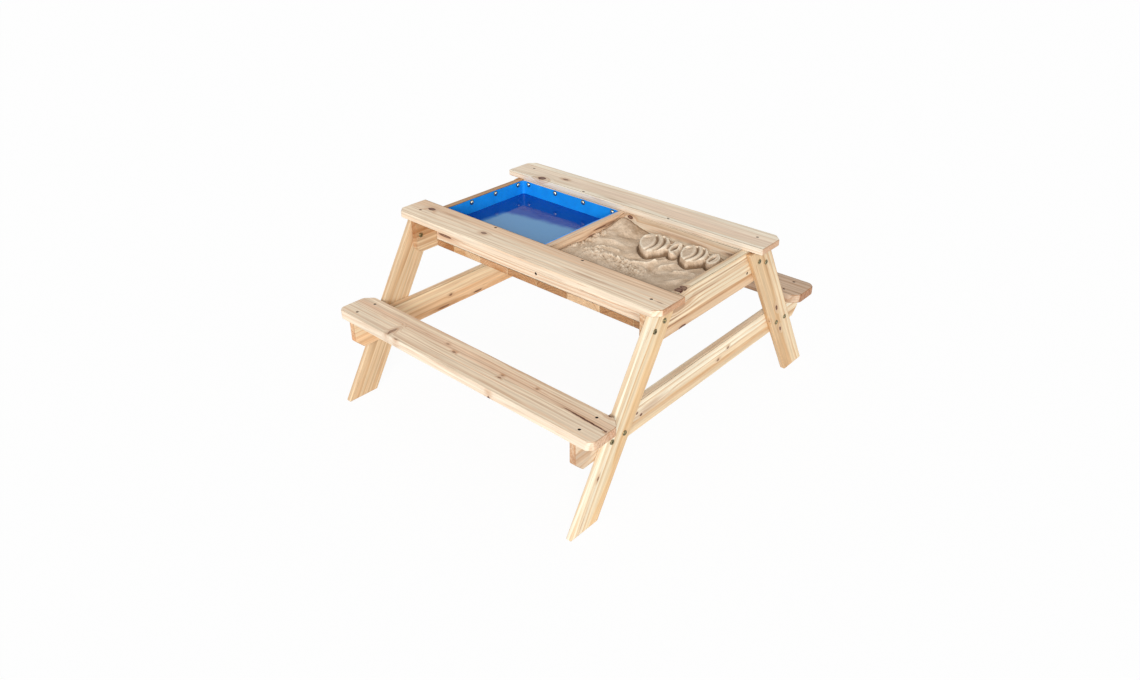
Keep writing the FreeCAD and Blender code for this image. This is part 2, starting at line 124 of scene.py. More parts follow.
class HardwareSettings(bpy.types.PropertyGroup):
    screw_sink: a_length("Screw sink", "Depth of a screw's head below the wood", 0.8)
    sides: IntProperty(name="Sides", description="Facets round a turned fastener", default=32)
    # painted shade: the screw colours are near black, partly a dark finish and partly shade in the
    # countersunk holes
    screw_dark: a_colour("Screw, dark", "Dull parts of a screw's head", "#0F0704")
    screw_light: a_colour("Screw, light", "Rubbed parts of a screw's head", "#22140C")
    # painted reflection: both zinc tints are darkened to stand in for dark surroundings mirrored in
    # the bolts
    zinc_dark: a_colour("Zinc, dark", "Deep tint of the bolts' plating", "#4E462F")
    zinc_light: a_colour("Zinc, light", "Pale tint of the bolts' plating", "#B5AB88")
    brass_dark: a_colour("Brass, dark", "Dull parts of a stud's dome", "#D8CBA6")
    brass_light: a_colour("Brass, light", "Bright parts of a stud's dome", "#FBF6E6")
    rubber_dark: a_colour("Rubber, dark", "Clean rubber of a washer", "#161718")
    rubber_light: a_colour("Rubber, light", "Bloom on a washer", "#2C2D2E")


class LinerSettings(bpy.types.PropertyGroup):
    sheet: a_length("Sheet", "Thickness of the vinyl", 1.5)
    corner: a_length("Corner", "Radius of the upright corners", 11.0)
    floor_corner: a_length("Floor corner", "Radius where the walls meet the floor", 6.0)
    slack: a_length("Slack", "How far the walls bulge in between the studs", 0.9)
    hem: a_length("Hem", "Width of the edge turned over beside the divider", 6.0)
    vinyl_dark: a_colour("Vinyl, dark", "Dye of the sheet where it is deepest", "#1088E0")
    vinyl_light: a_colour("Vinyl, light", "Dye of the sheet where it is palest", "#1696EE")


class WaterSettings(bpy.types.PropertyGroup):
    ripple: a_length("Ripple", "Height of the ripples", 0.25)
    # deep is painted shade and clear is painted light and reflection, laid on the water by place
    deep: a_colour("Deep water", "Water in the shade of the outer walls", "#0A4AAC")
    clear: a_colour("Clear water", "Water towards the divider", "#6BA3D4")


class SandSettings(bpy.types.PropertyGroup):
    grid: a_length("Grid", "Distance between points of the surface", 1.4)
    level: a_length("Level", "Height of the level sand above the ground", 438.0)
    casting: a_length("Casting", "Height of a moulded fish above the sand around it", 20.0)
    ceiling: a_length("Ceiling", "Height that no sand stands above", 472.0)
    # relief sets how far the painted shade and highlight of the sand follow its rise
    relief: a_length("Relief", "Rise over its neighbourhood that dries a crest right out", 9.0)
    smoothing: IntProperty(name="Smoothing", description="Passes that find the sand's "
                           "neighbourhood level", default=24)
    brown: a_colour("Sand, brown", "Browner patches of the sand", "#C9B095")
    beige: a_colour("Sand, beige", "Paler patches of the sand", "#E2CCB3")
    # painted shade and highlight: the darker colour lies in hollows, on steep walls and at the feet
    # of walls and boards as painted shade as well as wet sand; the paler one on crests as painted
    # highlight as well as dried-out sand
    damp_and_shade: a_colour("Damp sand", "Hollows and the feet of walls", "#775A3D")
    dry_and_lit: a_colour("Dry sand", "Crests that have dried out", "#F6E8D2")


class StageSettings(bpy.types.PropertyGroup):
    key: FloatProperty(name="Key light", description="Strength of the key light", default=2.45)
    fill: a_share("Fill", "Strength of the even light from all round", 0.72)
    key_spread: an_angle("Key spread", "Angle that the key light fills", 24)
    key_turn: a_turn("Key turn", "Turn of the key light", (69, 0, 36))
    floor: a_colour("Floor", "Studio floor", "#FAFAFA")
    lens: FloatProperty(name="Lens", description="Focal length in mm", default=27.1,
                        unit="CAMERA")
    shift_x: FloatProperty(name="Shift X", description="Sideways framing shift", default=-0.01135)
    shift_y: FloatProperty(name="Shift Y", description="Upward framing shift", default=-0.0328)
    camera_place: FloatVectorProperty(name="Camera place", description="Where the camera stands",
                                      default=(1.3925, -1.5971, 1.3893), subtype="TRANSLATION")
    camera_turn: a_turn("Camera turn", "Turn of the camera", (61.733, -0.068, 41.122))


class TableSettings(bpy.types.PropertyGroup):
    timber: PointerProperty(type=TimberSettings)
    hardware: PointerProperty(type=HardwareSettings)
    liner: PointerProperty(type=LinerSettings)
    water: PointerProperty(type=WaterSettings)
    sand: PointerProperty(type=SandSettings)
    stage: PointerProperty(type=StageSettings)


def settings():
    """The table's settings in this scene."""
    return bpy.context.scene.play_table


# ---- Nodes -----------------------------------------------------------------------------

# Settings that many nodes share: a range eased at both ends, a mix of two colours, and a
# colour laid over another as a stain
EASED = {"interpolation_type": "SMOOTHSTEP"}
MIXED = {"data_type": "RGBA"}
STAINED = {"data_type": "RGBA", "blend_type": "MULTIPLY"}


def add_node(tree, kind, *feeds, **options):
    """Adds a node with its settings, and feeds the inputs it shows, in order or from a dict.

    A feed is a value, a hex colour, an output, or a node, which stands for its first output.
    """
    node = tree.nodes.new(kind if kind.startswith("NodeGroup") else "ShaderNode" + kind)
    for name, value in options.items():
        setattr(node, name, value)
    shown = [i for i, socket in enumerate(node.inputs) if socket.enabled]
    named = feeds[0] if feeds and isinstance(feeds[0], dict) else dict(zip(shown, feeds))
    for key, value in named.items():
        if isinstance(value, str):
            value = hex_colour(value)
        if isinstance(value, bpy.types.Node):
            value = next(output for output in value.outputs if output.enabled)
        if isinstance(value, bpy.types.NodeSocket):
            tree.links.new(value, node.inputs[key])
        else:
            node.inputs[key].default_value = value
    return node


def new_material(name):
    """Empty node material, and add_node for its tree."""
    material = bpy.data.materials.new(name)
    material.use_nodes = True
    material.node_tree.nodes.clear()
    return material, partial(add_node, material.node_tree)


def new_group(name, takes, gives):
    """Node group with sockets listed by kind, add_node for its tree, and what it is given."""
    tree = bpy.data.node_groups.new(name, "ShaderNodeTree")
    for way, sockets in (("INPUT", takes), ("OUTPUT", gives)):
        for kind, titles in sockets.items():
            for title in titles:
                tree.interface.new_socket(name=title, in_out=way, socket_type="NodeSocket" + kind)
    add = partial(add_node, tree)
    return tree, add, add("NodeGroupInput").outputs


def shared_group(name, make):
    """The named node group, made the first time that it is asked for."""
    return bpy.data.node_groups.get(name) or make()


# ---- Softwood ------------------------------------------------------------------------


def knot_group():
    """A knot: dark core with a darker rim, amber halo, and how far it pushes the rings aside."""
    tree, add, given = new_group(
        "Knot", {"Vector": ("Place", "Centre", "Size"), "Float": ("Dark",)},
        {"Float": ("Core", "Halo", "Lift")})
    rim_place = 1.25            # share of the knot's radius at which its rim lies
    reach = add("VectorMath", given["Place"], given["Centre"], operation="SUBTRACT")
    scaled = add("VectorMath", reach, given["Size"], operation="DIVIDE")
    away = add("VectorMath", scaled, operation="LENGTH")
    ragged = add("TexNoise", {"Vector": scaled, "Scale": 1.3, "Detail": 3.0})
    away = add("Math", ragged, 0.9, away, operation="MULTIPLY_ADD")
    rim = add("Math", add("Math", away, rim_place, operation="SUBTRACT"), operation="ABSOLUTE")
    core = add("Math", add("MapRange", away, rim_place, 1.7, 0.78, 0.0, **EASED),
               add("MapRange", rim, 0.1, 0.4, 1.0, 0.0, **EASED), operation="MAXIMUM")
    core = add("Math", core, given["Dark"], operation="MULTIPLY")
    halo = add("MapRange", away, 1.2, 4.2, 1.0, 0.0, **EASED)
    width = add("SeparateXYZ", given["Size"]).outputs["Y"]
    width = add("Math", width, 1.7, operation="MULTIPLY")
    lift = add("Math", halo, width, operation="MULTIPLY")
    add("NodeGroupOutput", {"Core": core, "Halo": halo, "Lift": lift})
    return tree


def softwood_group():
    """Sawn fir as a solid pattern in millimetres: X along the grain, rings about the pith."""
    tree, add, given = new_group(
        "Softwood",
        {"Vector": ("Place", "Pith"), "Color": ("Sapwood", "Heartwood", "Latewood"),
         "Float": ("Ring Width", "Contrast", "Heart Radius", "Core", "Halo", "Lift",
                   "End Grain", "Edge Grain", "End Rim", "Foul Ends")},
        {"Color": ("Color",), "Float": ("Roughness", "Height")})
    timber = settings().timber

    def drawn_out(long, wide, seed, detail=2.0):
        """Noise stretched along the grain: its length and width in mm."""
        scaled = add("VectorMath", given["Place"], (1 / long, 1 / wide, 1 / wide),
                     operation="MULTIPLY")
        return add("TexNoise", scaled, seed, 1.0, detail, noise_dimensions="4D")

    def sway(long, wide, seed, reach):
        """A sideways drift of the rings along the board, in mm."""
        cloud = drawn_out(long, wide, seed).outputs["Color"]
        drift = add("VectorMath", cloud, (0.5, 0.5, 0.5), operation="SUBTRACT")
        return add("VectorMath", drift, (0.0, reach, reach), operation="MULTIPLY")

    # the trunk is never quite straight: its rings wander along the board and ripple a little
    bent = add("VectorMath", given["Place"], sway(520.0, 90.0, 0.0, 26.0), operation="ADD")
    bent = add("VectorMath", bent, sway(90.0, 18.0, 3.7, 2.6), operation="ADD")
    bent = add("VectorMath", bent, given["Pith"], operation="SUBTRACT")
    bent = add("VectorMath", bent, (0.0, 1.0, 1.0), operation="MULTIPLY")
    radius = add("VectorMath", bent, operation="LENGTH")
    radius = add("Math", radius, given["Lift"], operation="ADD")
    # wet and dry years make wide and narrow rings, some of them strong and some faint
    years = add("Math", radius, given["Ring Width"], operation="DIVIDE")
    uneven = add("TexNoise", years, 0.38, 1.0, noise_dimensions="1D")
    years = add("Math", uneven, 2.6, years, operation="MULTIPLY_ADD")
    phase = add("Math", years, operation="FRACT")
    year = add("Math", years, operation="FLOOR")
    vigour = add("TexWhiteNoise", year, noise_dimensions="1D")
    vigour = add("MapRange", vigour, 0.0, 1.0, 0.35, 1.0)
    ring = add("Math", add("MapRange", phase, 0.3, 0.8, **EASED),
               add("MapRange", phase, 0.88, 1.0, 1.0, 0.0, **EASED), operation="MULTIPLY")
    ring = add("Math", ring, vigour, operation="MULTIPLY")
    patchy = add("MapRange", drawn_out(180.0, 30.0, 12.0), 0.3, 0.7, 0.55, 1.0, **EASED)
    ring = add("Math", ring, patchy, operation="MULTIPLY")
    # heartwood near the pith is peach brown, the sapwood outside it cream, in soft bands
    band = drawn_out(700.0, 24.0, 8.1)
    heart_edge = add("Math", band, 34.0, radius, operation="MULTIPLY_ADD")
    heart_edge = add("Math", heart_edge, given["Heart Radius"], operation="SUBTRACT")
    heart = add("MapRange", heart_edge, 8.0, 26.0, 1.0, 0.0, **EASED)
    colour = add("Mix", heart, given["Sapwood"], given["Heartwood"], **MIXED)
    # painted shade: the narrow long edges are painted a shade darker and cooler than the broad
    # faces, to tone down the key light that falls on them
    edge_shade = add("Mix", 1.0, colour, "#F5F5F8", **STAINED)
    colour = add("Mix", given["Edge Grain"], colour, edge_shade, **MIXED)
    late = add("Math", ring, given["Contrast"], operation="MULTIPLY")
    colour = add("Mix", late, colour, given["Latewood"], **MIXED)
    # fibres: streaks along the grain, drawn several times wider than real ones so that they show
    fibre = drawn_out(230.0, 4.6, 5.2)
    fleck = drawn_out(60.0, 2.2, 9.3)
    shade = add("Math", add("MapRange", fibre, 0.3, 0.7, 0.84, 1.1),
                add("MapRange", fleck, 0.3, 0.7, 0.93, 1.05), operation="MULTIPLY")
    cloudy = add("MapRange", drawn_out(420.0, 15.0, 6.4), 0.25, 0.75, 0.95, 1.04)
    shade = add("Math", shade, cloudy, operation="MULTIPLY")
    colour = add("VectorMath", colour, shade, operation="SCALE")
    # some streaks are pinker and some greyer than the wood round them
    tinge = drawn_out(320.0, 9.0, 21.0)
    pinker = add("MapRange", tinge, 0.5, 0.75, 0.0, 0.32, **EASED)
    colour = add("Mix", pinker, colour, add("Mix", 1.0, colour, "#F3DCCB", **STAINED), **MIXED)
    greyer = add("MapRange", tinge, 0.25, 0.45, 0.35, 0.0, **EASED)
    colour = add("Mix", greyer, colour, add("Mix", 1.0, colour, "#F1EFE7", **STAINED), **MIXED)
    # resin streaks: thin and reddish, a few to a board
    resin = add("MapRange", drawn_out(75.0, 3.6, 15.5), 0.62, 0.74, **EASED)
    resin = add("Math", resin, 0.42, operation="MULTIPLY")
    colour = add("Mix", resin, colour, timber.resin, **MIXED)
    # end grain drinks up dirt and looks browner
    speck = drawn_out(7.0, 2.2, 18.0, 3.0)
    foul = add("Math", given["Foul Ends"], add("MapRange", speck, 0.3, 0.62, 1.0, 0.55, **EASED),
               operation="MULTIPLY")
    foul = add("Math", given["End Grain"], foul, operation="MULTIPLY")
    colour = add("Mix", foul, colour, add("Mix", 1.0, colour, timber.foul, **STAINED), **MIXED)
    # the arris round a sawn end is bruised and brown
    rim = add("Math", given["End Rim"], given["Foul Ends"], operation="MULTIPLY")
    rim = add("Math", rim, 0.85, operation="MULTIPLY")
    colour = add("Mix", rim, colour, timber.bruise, **MIXED)
    halo = add("Math", given["Halo"], 0.42, operation="MULTIPLY")
    colour = add("Mix", halo, colour, timber.halo, **MIXED)
    colour = add("Mix", given["Core"], colour, timber.knot, **MIXED)
    # latewood stands a few hundredths of a millimetre proud of the soft early wood
    height = add("Math", fibre, 0.9, ring, operation="MULTIPLY_ADD")
    height = add("Math", given["Core"], -1.2, height, operation="MULTIPLY_ADD")
    add("NodeGroupOutput", {"Color": colour, "Height": height,
                            "Roughness": add("MapRange", fibre, 0.2, 0.8, 0.5, 0.7)})
    return tree


# ---- The timber: how each board lies, how it was sawn, and its marks -----------------


class Board:
    """One board: how it lies in the table, how it was sawn from the trunk, and its marks.

    cuts are the mm sawn off each corner, in order round the broad face. A knot is its middle,
    its length along the grain and its width in mm, and how dark it is; thin ones serve as
    scratches, stains and painted shade in a split, and a faint wide one as painted shade under a
    seat. joint is the place in mm of the glue line between two staves. A split
    is (x, y, width) at both ends and its depth, in mm. foul_ends is how brown the ends are.
    """

    # kind: axes across the broad face, axis of the thickness, direction of the grain
    KINDS = {"plank": (0, 1, 2, X), "floor": (0, 1, 2, Y), "side": (0, 2, 1, X),
             "rail": (1, 2, 0, Y), "leg": (1, 2, 0, Z)}

    def __init__(self, node, kind, slot, sawn, cuts=(0, 0, 0, 0), knots=(), foul_ends=0.5,
                 joint=None, splits=()):
        self.node, self.kind, self.slot, self.sawn = node, kind, slot, sawn
        self.cuts, self.knots, self.foul_ends = cuts, knots, foul_ends
        self.joint, self.splits = joint, splits
        self.seed = 1.0 + sum(ord(letter) for letter in node) % 97
        self.low, self.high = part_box(node)
        self.across, self.up, self.through, self.grain = self.KINDS[kind]

    def lean(self):
        """How far a leg moves towards the middle of the table for each metre that it rises."""
        if self.kind != "leg":
            return 0.0
        side = 1 if self.low.y + self.high.y > 0 else -1
        return -side * math.tan(settings().timber.leg_splay)

    def lie(self):
        """Middle of the board, and the matrix whose rows run along, across and through it."""
        along = (self.grain + Y * self.lean()).normalized()
        through = (X, Y, Z)[self.through]
        turn = Matrix((along, through.cross(along), through))
        return (self.low + self.high) / 2, turn

    def corners(self):
        """Corners of the broad face, in order round it, each with its rounding."""
        timber = settings().timber
        low = Vector((self.low[self.across], self.low[self.up]))
        high = Vector((self.high[self.across], self.high[self.up]))
        if self.kind == "leg":
            run = abs(self.lean()) * (high.y - low.y)
            ends = ((low.x, high.x - run), (low.x + run, high.x))
            feet, tops = ends[::-1] if self.lean() < 0 else ends
            square = [(feet[0], low.y), (feet[1], low.y), (tops[1], high.y), (tops[0], high.y)]
            return [(Vector(corner), timber.arris) for corner in square]
        square = [(low.x, low.y), (high.x, low.y), (high.x, high.y), (low.x, high.y)]
        softness = timber.seat_corner if self.slot == "seat_wood" else timber.cut_corner
        found = []
        for i, corner in enumerate(square):
            corner = Vector(corner)
            if not self.cuts[i]:
                found.append((corner, timber.square_corner))
                continue
            for other in (square[i - 1], square[(i + 1) % 4]):
                toward = (Vector(other) - corner).normalized()
                found.append((corner + toward * self.cuts[i] * MM, softness))
        return found


def sawn(across, through, ring, contrast, heart, tone):
    """A board's cut: pith against its middle, ring width and heartwood's radius in mm, and tone."""
    return {"pith": (across, through), "ring": ring, "contrast": contrast, "heart": heart,
            "tone": TONES[tone]}


def softwood(name, board, cut):
    """Planed, untreated fir: soft sheen, cream to peach, with browner rings and dark knots."""
    material, add = new_material(name)
    origin, turn = board.lie()
    point = add("TexCoord").outputs
    start = Vector((board.seed * SEED_STEP, 0, 0))
    place = add("Mapping", {"Vector": point["Object"], "Location": start - turn @ origin / MM,
                            "Rotation": turn.to_euler(), "Scale": (1 / MM, 1 / MM, 1 / MM)})
    sapwood, heartwood, latewood = cut["tone"]
    feeds = {"Place": place, "Pith": (0.0, *cut["pith"]), "Ring Width": cut["ring"],
             "Contrast": cut["contrast"], "Heart Radius": cut["heart"], "Sapwood": sapwood,
             "Heartwood": heartwood, "Latewood": latewood, "Foul Ends": board.foul_ends}
    for x, y, z, long, wide, dark in board.knots:
        centre = turn @ (Vector((x, y, z)) - origin / MM) + start
        knot = add("Group", {"Place": place, "Centre": centre, "Size": (long, wide, KNOT_DEPTH),
                             "Dark": dark}, node_tree=shared_group("Knot", knot_group)).outputs
        for key in ("Core", "Halo", "Lift"):
            if key in feeds:
                feeds[key] = add("Math", feeds[key], knot[key], operation="MAXIMUM")
            else:
                feeds[key] = knot[key]
    # how squarely the surface faces along, across and through the board
    along, across, through = (
        add("Math", add("VectorMath", point["Normal"], row, operation="DOT_PRODUCT"),
            operation="ABSOLUTE") for row in turn)
    feeds["End Grain"] = add("MapRange", along, 0.75, 0.95, **EASED)
    feeds["Edge Grain"] = add("MapRange", across, 0.6, 0.95, **EASED)
    # the arris between an end and the top or underside
    feeds["End Rim"] = add("Math", add("MapRange", along, 0.2, 0.45, **EASED),
                           add("MapRange", through, 0.2, 0.5, **EASED), operation="MULTIPLY")
    wood = add("Group", feeds, node_tree=shared_group("Softwood", softwood_group)).outputs
    bump = add("Bump", {"Height": wood["Height"], "Strength": 0.6, "Distance": 0.15 * MM})
    shader = add("BsdfPrincipled", {"Base Color": wood["Color"], "Roughness": wood["Roughness"],
                                    "Normal": bump, "Specular IOR Level": 0.4})
    add("OutputMaterial", {"Surface": shader})
    return material


def rounded_outline(corners, step):
    """Points round a closed outline with their outward directions: arcs, then even steps."""
    found = []
    for i, (corner, radius) in enumerate(corners):
        back = (corners[i - 1][0] - corner).normalized()
        ahead = (corners[(i + 1) % len(corners)][0] - corner).normalized()
        half = back.angle(ahead) / 2
        centre = corner + (back + ahead).normalized() * (radius / math.sin(half))
        first = (corner + back * (radius / math.tan(half)) - centre).normalized()
        turn = math.pi - 2 * half
        steps = max(3, round(turn / ARC_TURN))
        for k in range(steps + 1):
            outward = Matrix.Rotation(turn * k / steps, 2) @ first
            found.append((centre + outward * radius, outward))
    filled = []
    for i, (place, outward) in enumerate(found):
        filled.append((place, outward))
        gap, after = found[(i + 1) % len(found)][0] - place, found[(i + 1) % len(found)][1]
        pieces = math.ceil(gap.length / step) if outward.dot(after) > STRAIGHT else 1
        filled += [(place + gap * k / pieces, outward) for k in range(1, pieces)]
    return filled


def loft(rings, capped=True):
    """Mesh skinned over closed rings of points, in order, with its two ends closed."""
    mesh = bmesh.new()
    made = [[mesh.verts.new(point) for point in ring] for ring in rings]
    for lower, upper in zip(made, made[1:]):
        for i in range(len(lower)):
            mesh.faces.new((lower[i - 1], lower[i], upper[i], upper[i - 1]))
    if capped:
        mesh.faces.new(made[0][::-1])
        mesh.faces.new(made[-1])
    bmesh.ops.recalc_face_normals(mesh, faces=mesh.faces)
    return mesh


def board_mesh(board):
    """The board with rounded corners and hand-eased edges, worn unevenly along their length."""
    timber = settings().timber
    outline = rounded_outline(board.corners(), timber.step)
    bottom, top = board.low[board.through], board.high[board.through]

    def ease(place):
        """Radius of the eased edge at a place."""
        spot = Vector((place.x, place.y, board.seed * MM * 100)) / timber.wear_length
        return timber.arris * (1 + timber.wear * (noise.noise(spot) - 1) / 2)

    rings = []
    for height, side in ((bottom, 1), (top, -1)):
        turns = [math.pi / 2 * k / ARRIS_STEPS for k in range(ARRIS_STEPS + 1)]
        for turn in turns if side > 0 else turns[::-1]:
            ring = []
            for place, outward in outline:
                radius = min(ease(place), (top - bottom) / 3)
                spot = place - outward * radius * (1 - math.sin(turn))
                point = Vector((0, 0, 0))
                point[board.across], point[board.up] = spot
                point[board.through] = height + side * radius * (1 - math.cos(turn))
                ring.append(point)
            rings.append(ring)
    return loft(rings)


def to_object(name, mesh, materials=()):
    """Linked object made from a bmesh, which is freed."""
    data = bpy.data.meshes.new(name)
    mesh.to_mesh(data)
    mesh.free()
    for material in materials:
        data.materials.append(material)
    piece = bpy.data.objects.new(name, data)
    bpy.context.scene.collection.objects.link(piece)
    return piece


def settle(piece):
    """Replaces an object's mesh with the result of its modifiers."""
    bpy.context.view_layer.update()
    graph = bpy.context.evaluated_depsgraph_get()
    made = bpy.data.meshes.new_from_object(piece.evaluated_get(graph))
    piece.modifiers.clear()
    piece.data = made


def cut_away(piece, cutter):
    """Cuts one closed mesh out of another and deletes the cutter."""
    step = piece.modifiers.new("cut", "BOOLEAN")
    step.operation, step.solver, step.object = "DIFFERENCE", "EXACT", cutter
    settle(piece)
    bpy.data.objects.remove(cutter)
    return piece


def finish_piece(piece, slot, *nodes):
    """Smooths the shading up to the sharp edges and puts the piece on the table."""
    piece.data.shade_smooth()
    piece.data.set_sharp_from_angle(angle=math.radians(SHARP_DEGREES))
    step = piece.modifiers.new("shading", "WEIGHTED_NORMAL")
    step.keep_sharp, step.weight = True, 60
    settle(piece)
    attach(piece, "root")
    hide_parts(*nodes)


# ---- Fasteners -----------------------------------------------------------------------


def turned(profile, sides):
    """Closed mesh about Z from (radius, height) points in mm that start and end on the axis."""
    mesh = bmesh.new()
    rings = []
    for radius, height in profile:
        angles = [2 * math.pi * k / sides for k in range(sides if radius else 1)]
        rings.append([mesh.verts.new((radius * MM * math.cos(a), radius * MM * math.sin(a),
                                      height * MM)) for a in angles])
    for lower, upper in zip(rings, rings[1:]):
        for i in range(sides):
            corners = [lower[(i - 1) % len(lower)], lower[i % len(lower)],
                       upper[i % len(upper)], upper[(i - 1) % len(upper)]]
            mesh.faces.new(list(dict.fromkeys(corners)))
    bmesh.ops.recalc_face_normals(mesh, faces=mesh.faces)
    return mesh


def solids_of(node):
    """Corner points of each separate solid in a CAD node."""
    mesh = bmesh.new()
    mesh.from_mesh(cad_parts[node].data)
    bmesh.ops.remove_doubles(mesh, verts=mesh.verts, dist=MM / 1000)
    left = set(mesh.verts)
    found = []
    for first in mesh.verts:
        if first not in left:
            continue
        left.remove(first)
        reached = [first]
        for corner in reached:
            for edge in corner.link_edges:
                other = edge.other_vert(corner)
                if other in left:
                    left.remove(other)
                    reached.append(other)
        found.append([corner.co.copy() for corner in reached])
    mesh.free()
    return found


def head_sites(node):
    """For each fastener of a node: the middle of its head's outer end, and the way it points."""
    sites = []
    for points in solids_of(node):
        low = Vector([min(p[i] for p in points) for i in range(3)])
        high = Vector([max(p[i] for p in points) for i in range(3)])
        axis = max(range(3), key=lambda i: high[i] - low[i])
        middle = (low + high) / 2

        def width(level):
            """Half the width of the solid near one of its ends."""
            near = [p for p in points if abs(p[axis] - level) < (high - low)[axis] / 4]
            return max((p - middle - (X, Y, Z)[axis] * (p - middle)[axis]).length for p in near)

        head, way = (low, 1) if width(low[axis]) > width(high[axis]) else (high, -1)
        place = middle.copy()
        place[axis] = head[axis]
        sites.append((place, (X, Y, Z)[axis] * way))
    return sites


def site_matrix(place, way, twist=0.0):
    """Carries a fastener built pointing down from the origin to its site."""
    turn = (-Z).rotation_difference(way).to_matrix().to_4x4()
    return Matrix.Translation(place) @ turn @ Matrix.Rotation(twist, 4, "Z")


def set_fasteners(node, pattern, finish, slot, rng, beside=None):
    """One piece with a copy of the pattern at each head of a node, each turned at random."""
    mesh = bmesh.new()
    for place, way in head_sites(beside or node):
        copy = pattern.copy()
        copy.transform(site_matrix(place, way, rng.uniform(0, 2 * math.pi)))
        mesh.from_mesh(copy)
        bpy.data.meshes.remove(copy)
    finish_piece(to_object(node + "_set", mesh, [finish]), slot, node)


# ---- Finishes of the hardware, vinyl, water and sand -----------------------------------


def speckled(add, size_mm, detail=3.0):
    """Noise over the object at a real size."""
    return add("TexNoise", {"Vector": add("TexCoord").outputs["Object"],
                            "Scale": 1 / (size_mm * MM), "Detail": detail})


def plain_finish(name, dark, light, size_mm, metallic, rough, bump_mm, detail=3.0):
    """A finish that drifts between two colours, with matching wear in its gloss and surface."""
    material, add = new_material(name)
    cloud = speckled(add, size_mm, detail)
    colour = add("Mix", add("MapRange", cloud, 0.3, 0.7), dark, light, **MIXED)
    gloss = add("MapRange", cloud, 0.3, 0.7, rough[1], rough[0])
    bump = add("Bump", {"Height": cloud, "Strength": 0.6, "Distance": bump_mm * MM})
    shader = add("BsdfPrincipled", {"Base Color": colour, "Metallic": metallic,
                                    "Roughness": gloss, "Normal": bump})
    add("OutputMaterial", {"Surface": shader})
    return material


def bronzed_and_shaded_steel():
    """Yellow-passivated screw steel, dulled and painted near black: partly a dark bronze finish and
    partly painted shade of the heads deep in the wood.
    """
    tints = settings().hardware
    return plain_finish("Bronzed_And_Shaded_Screw_Steel", tints.screw_dark, tints.screw_light, 2.5, 0.25,
                        (0.6, 0.8), 0.05)


def zinc_steel():
    """Yellow chromate over zinc-plated steel: a warm gold that drifts in tint, darkened as painted
    reflection of dark surroundings.
    """
    tints = settings().hardware
    return plain_finish("Yellow_Zinc_Plated_Steel", tints.zinc_dark, tints.zinc_light, 3.0, 1.0,
                        (0.24, 0.46), 0.04)


def brassed_stud():
    """Stamped and brassed steel domes: pale and bright, a little rubbed."""
    tints = settings().hardware
    return plain_finish("Stamped_Brassed_Stud", tints.brass_dark, tints.brass_light, 2.0, 1.0,
                        (0.16, 0.34), 0.03)


def black_rubber():
    """Cut rubber sheet: near black, matt, with a dusty bloom."""
    tints = settings().hardware
    return plain_finish("Die_Cut_Black_Rubber", tints.rubber_dark, tints.rubber_light, 1.6, 0.0,
                        (0.7, 0.88), 0.08)


def blue_vinyl():
    """Calendered blue PVC sheet, heat welded: satin, evenly dyed, faintly scuffed."""
    tints = settings().liner
    return plain_finish("Welded_Blue_Vinyl", tints.vinyl_dark, tints.vinyl_light, 30.0, 0.0,
                        (0.28, 0.42), 0.1, detail=5.0)


def pool_water():
    """Clean water over blue vinyl: deep blue from above and mirror bright at a low angle."""
    material, add = new_material("Still_Blue_Lit_Water")
    water = settings().water
    ripple = speckled(add, 26.0, 2.0)
    bump = add("Bump", {"Height": ripple, "Strength": 0.4, "Distance": 0.5 * MM})
    # painted shade and reflection: the water is painted navy in the shade of the left and back walls
    # and paler blue beyond them, standing in for the lit floor and the white surroundings mirrored
    # there; the ranges are the places in metres where the painted shade ends
    drift = add("Mix", 0.03, add("TexCoord").outputs["Object"],
                speckled(add, 60.0, 2.0).outputs["Color"], **MIXED)
    x, y, _ = add("SeparateXYZ", drift).outputs
    open_x = add("MapRange", x, -0.31, -0.28, **EASED)
    slanted = add("Math", x, -0.2, y, operation="MULTIPLY_ADD")
    open_y = add("MapRange", slanted, 0.105, 0.072, **EASED)
    clear = add("Math", open_x, open_y, operation="MULTIPLY")
    shader = add("BsdfPrincipled", {
        "Base Color": add("Mix", clear, water.deep, water.clear, **MIXED),
        "Roughness": add("MapRange", ripple, 0.3, 0.7, 0.02, 0.035, **EASED),
        "Alpha": 0.86, "IOR": 1.33, "Specular IOR Level": 0.38, "Normal": bump})
    add("OutputMaterial", {"Surface": shader})
    return material


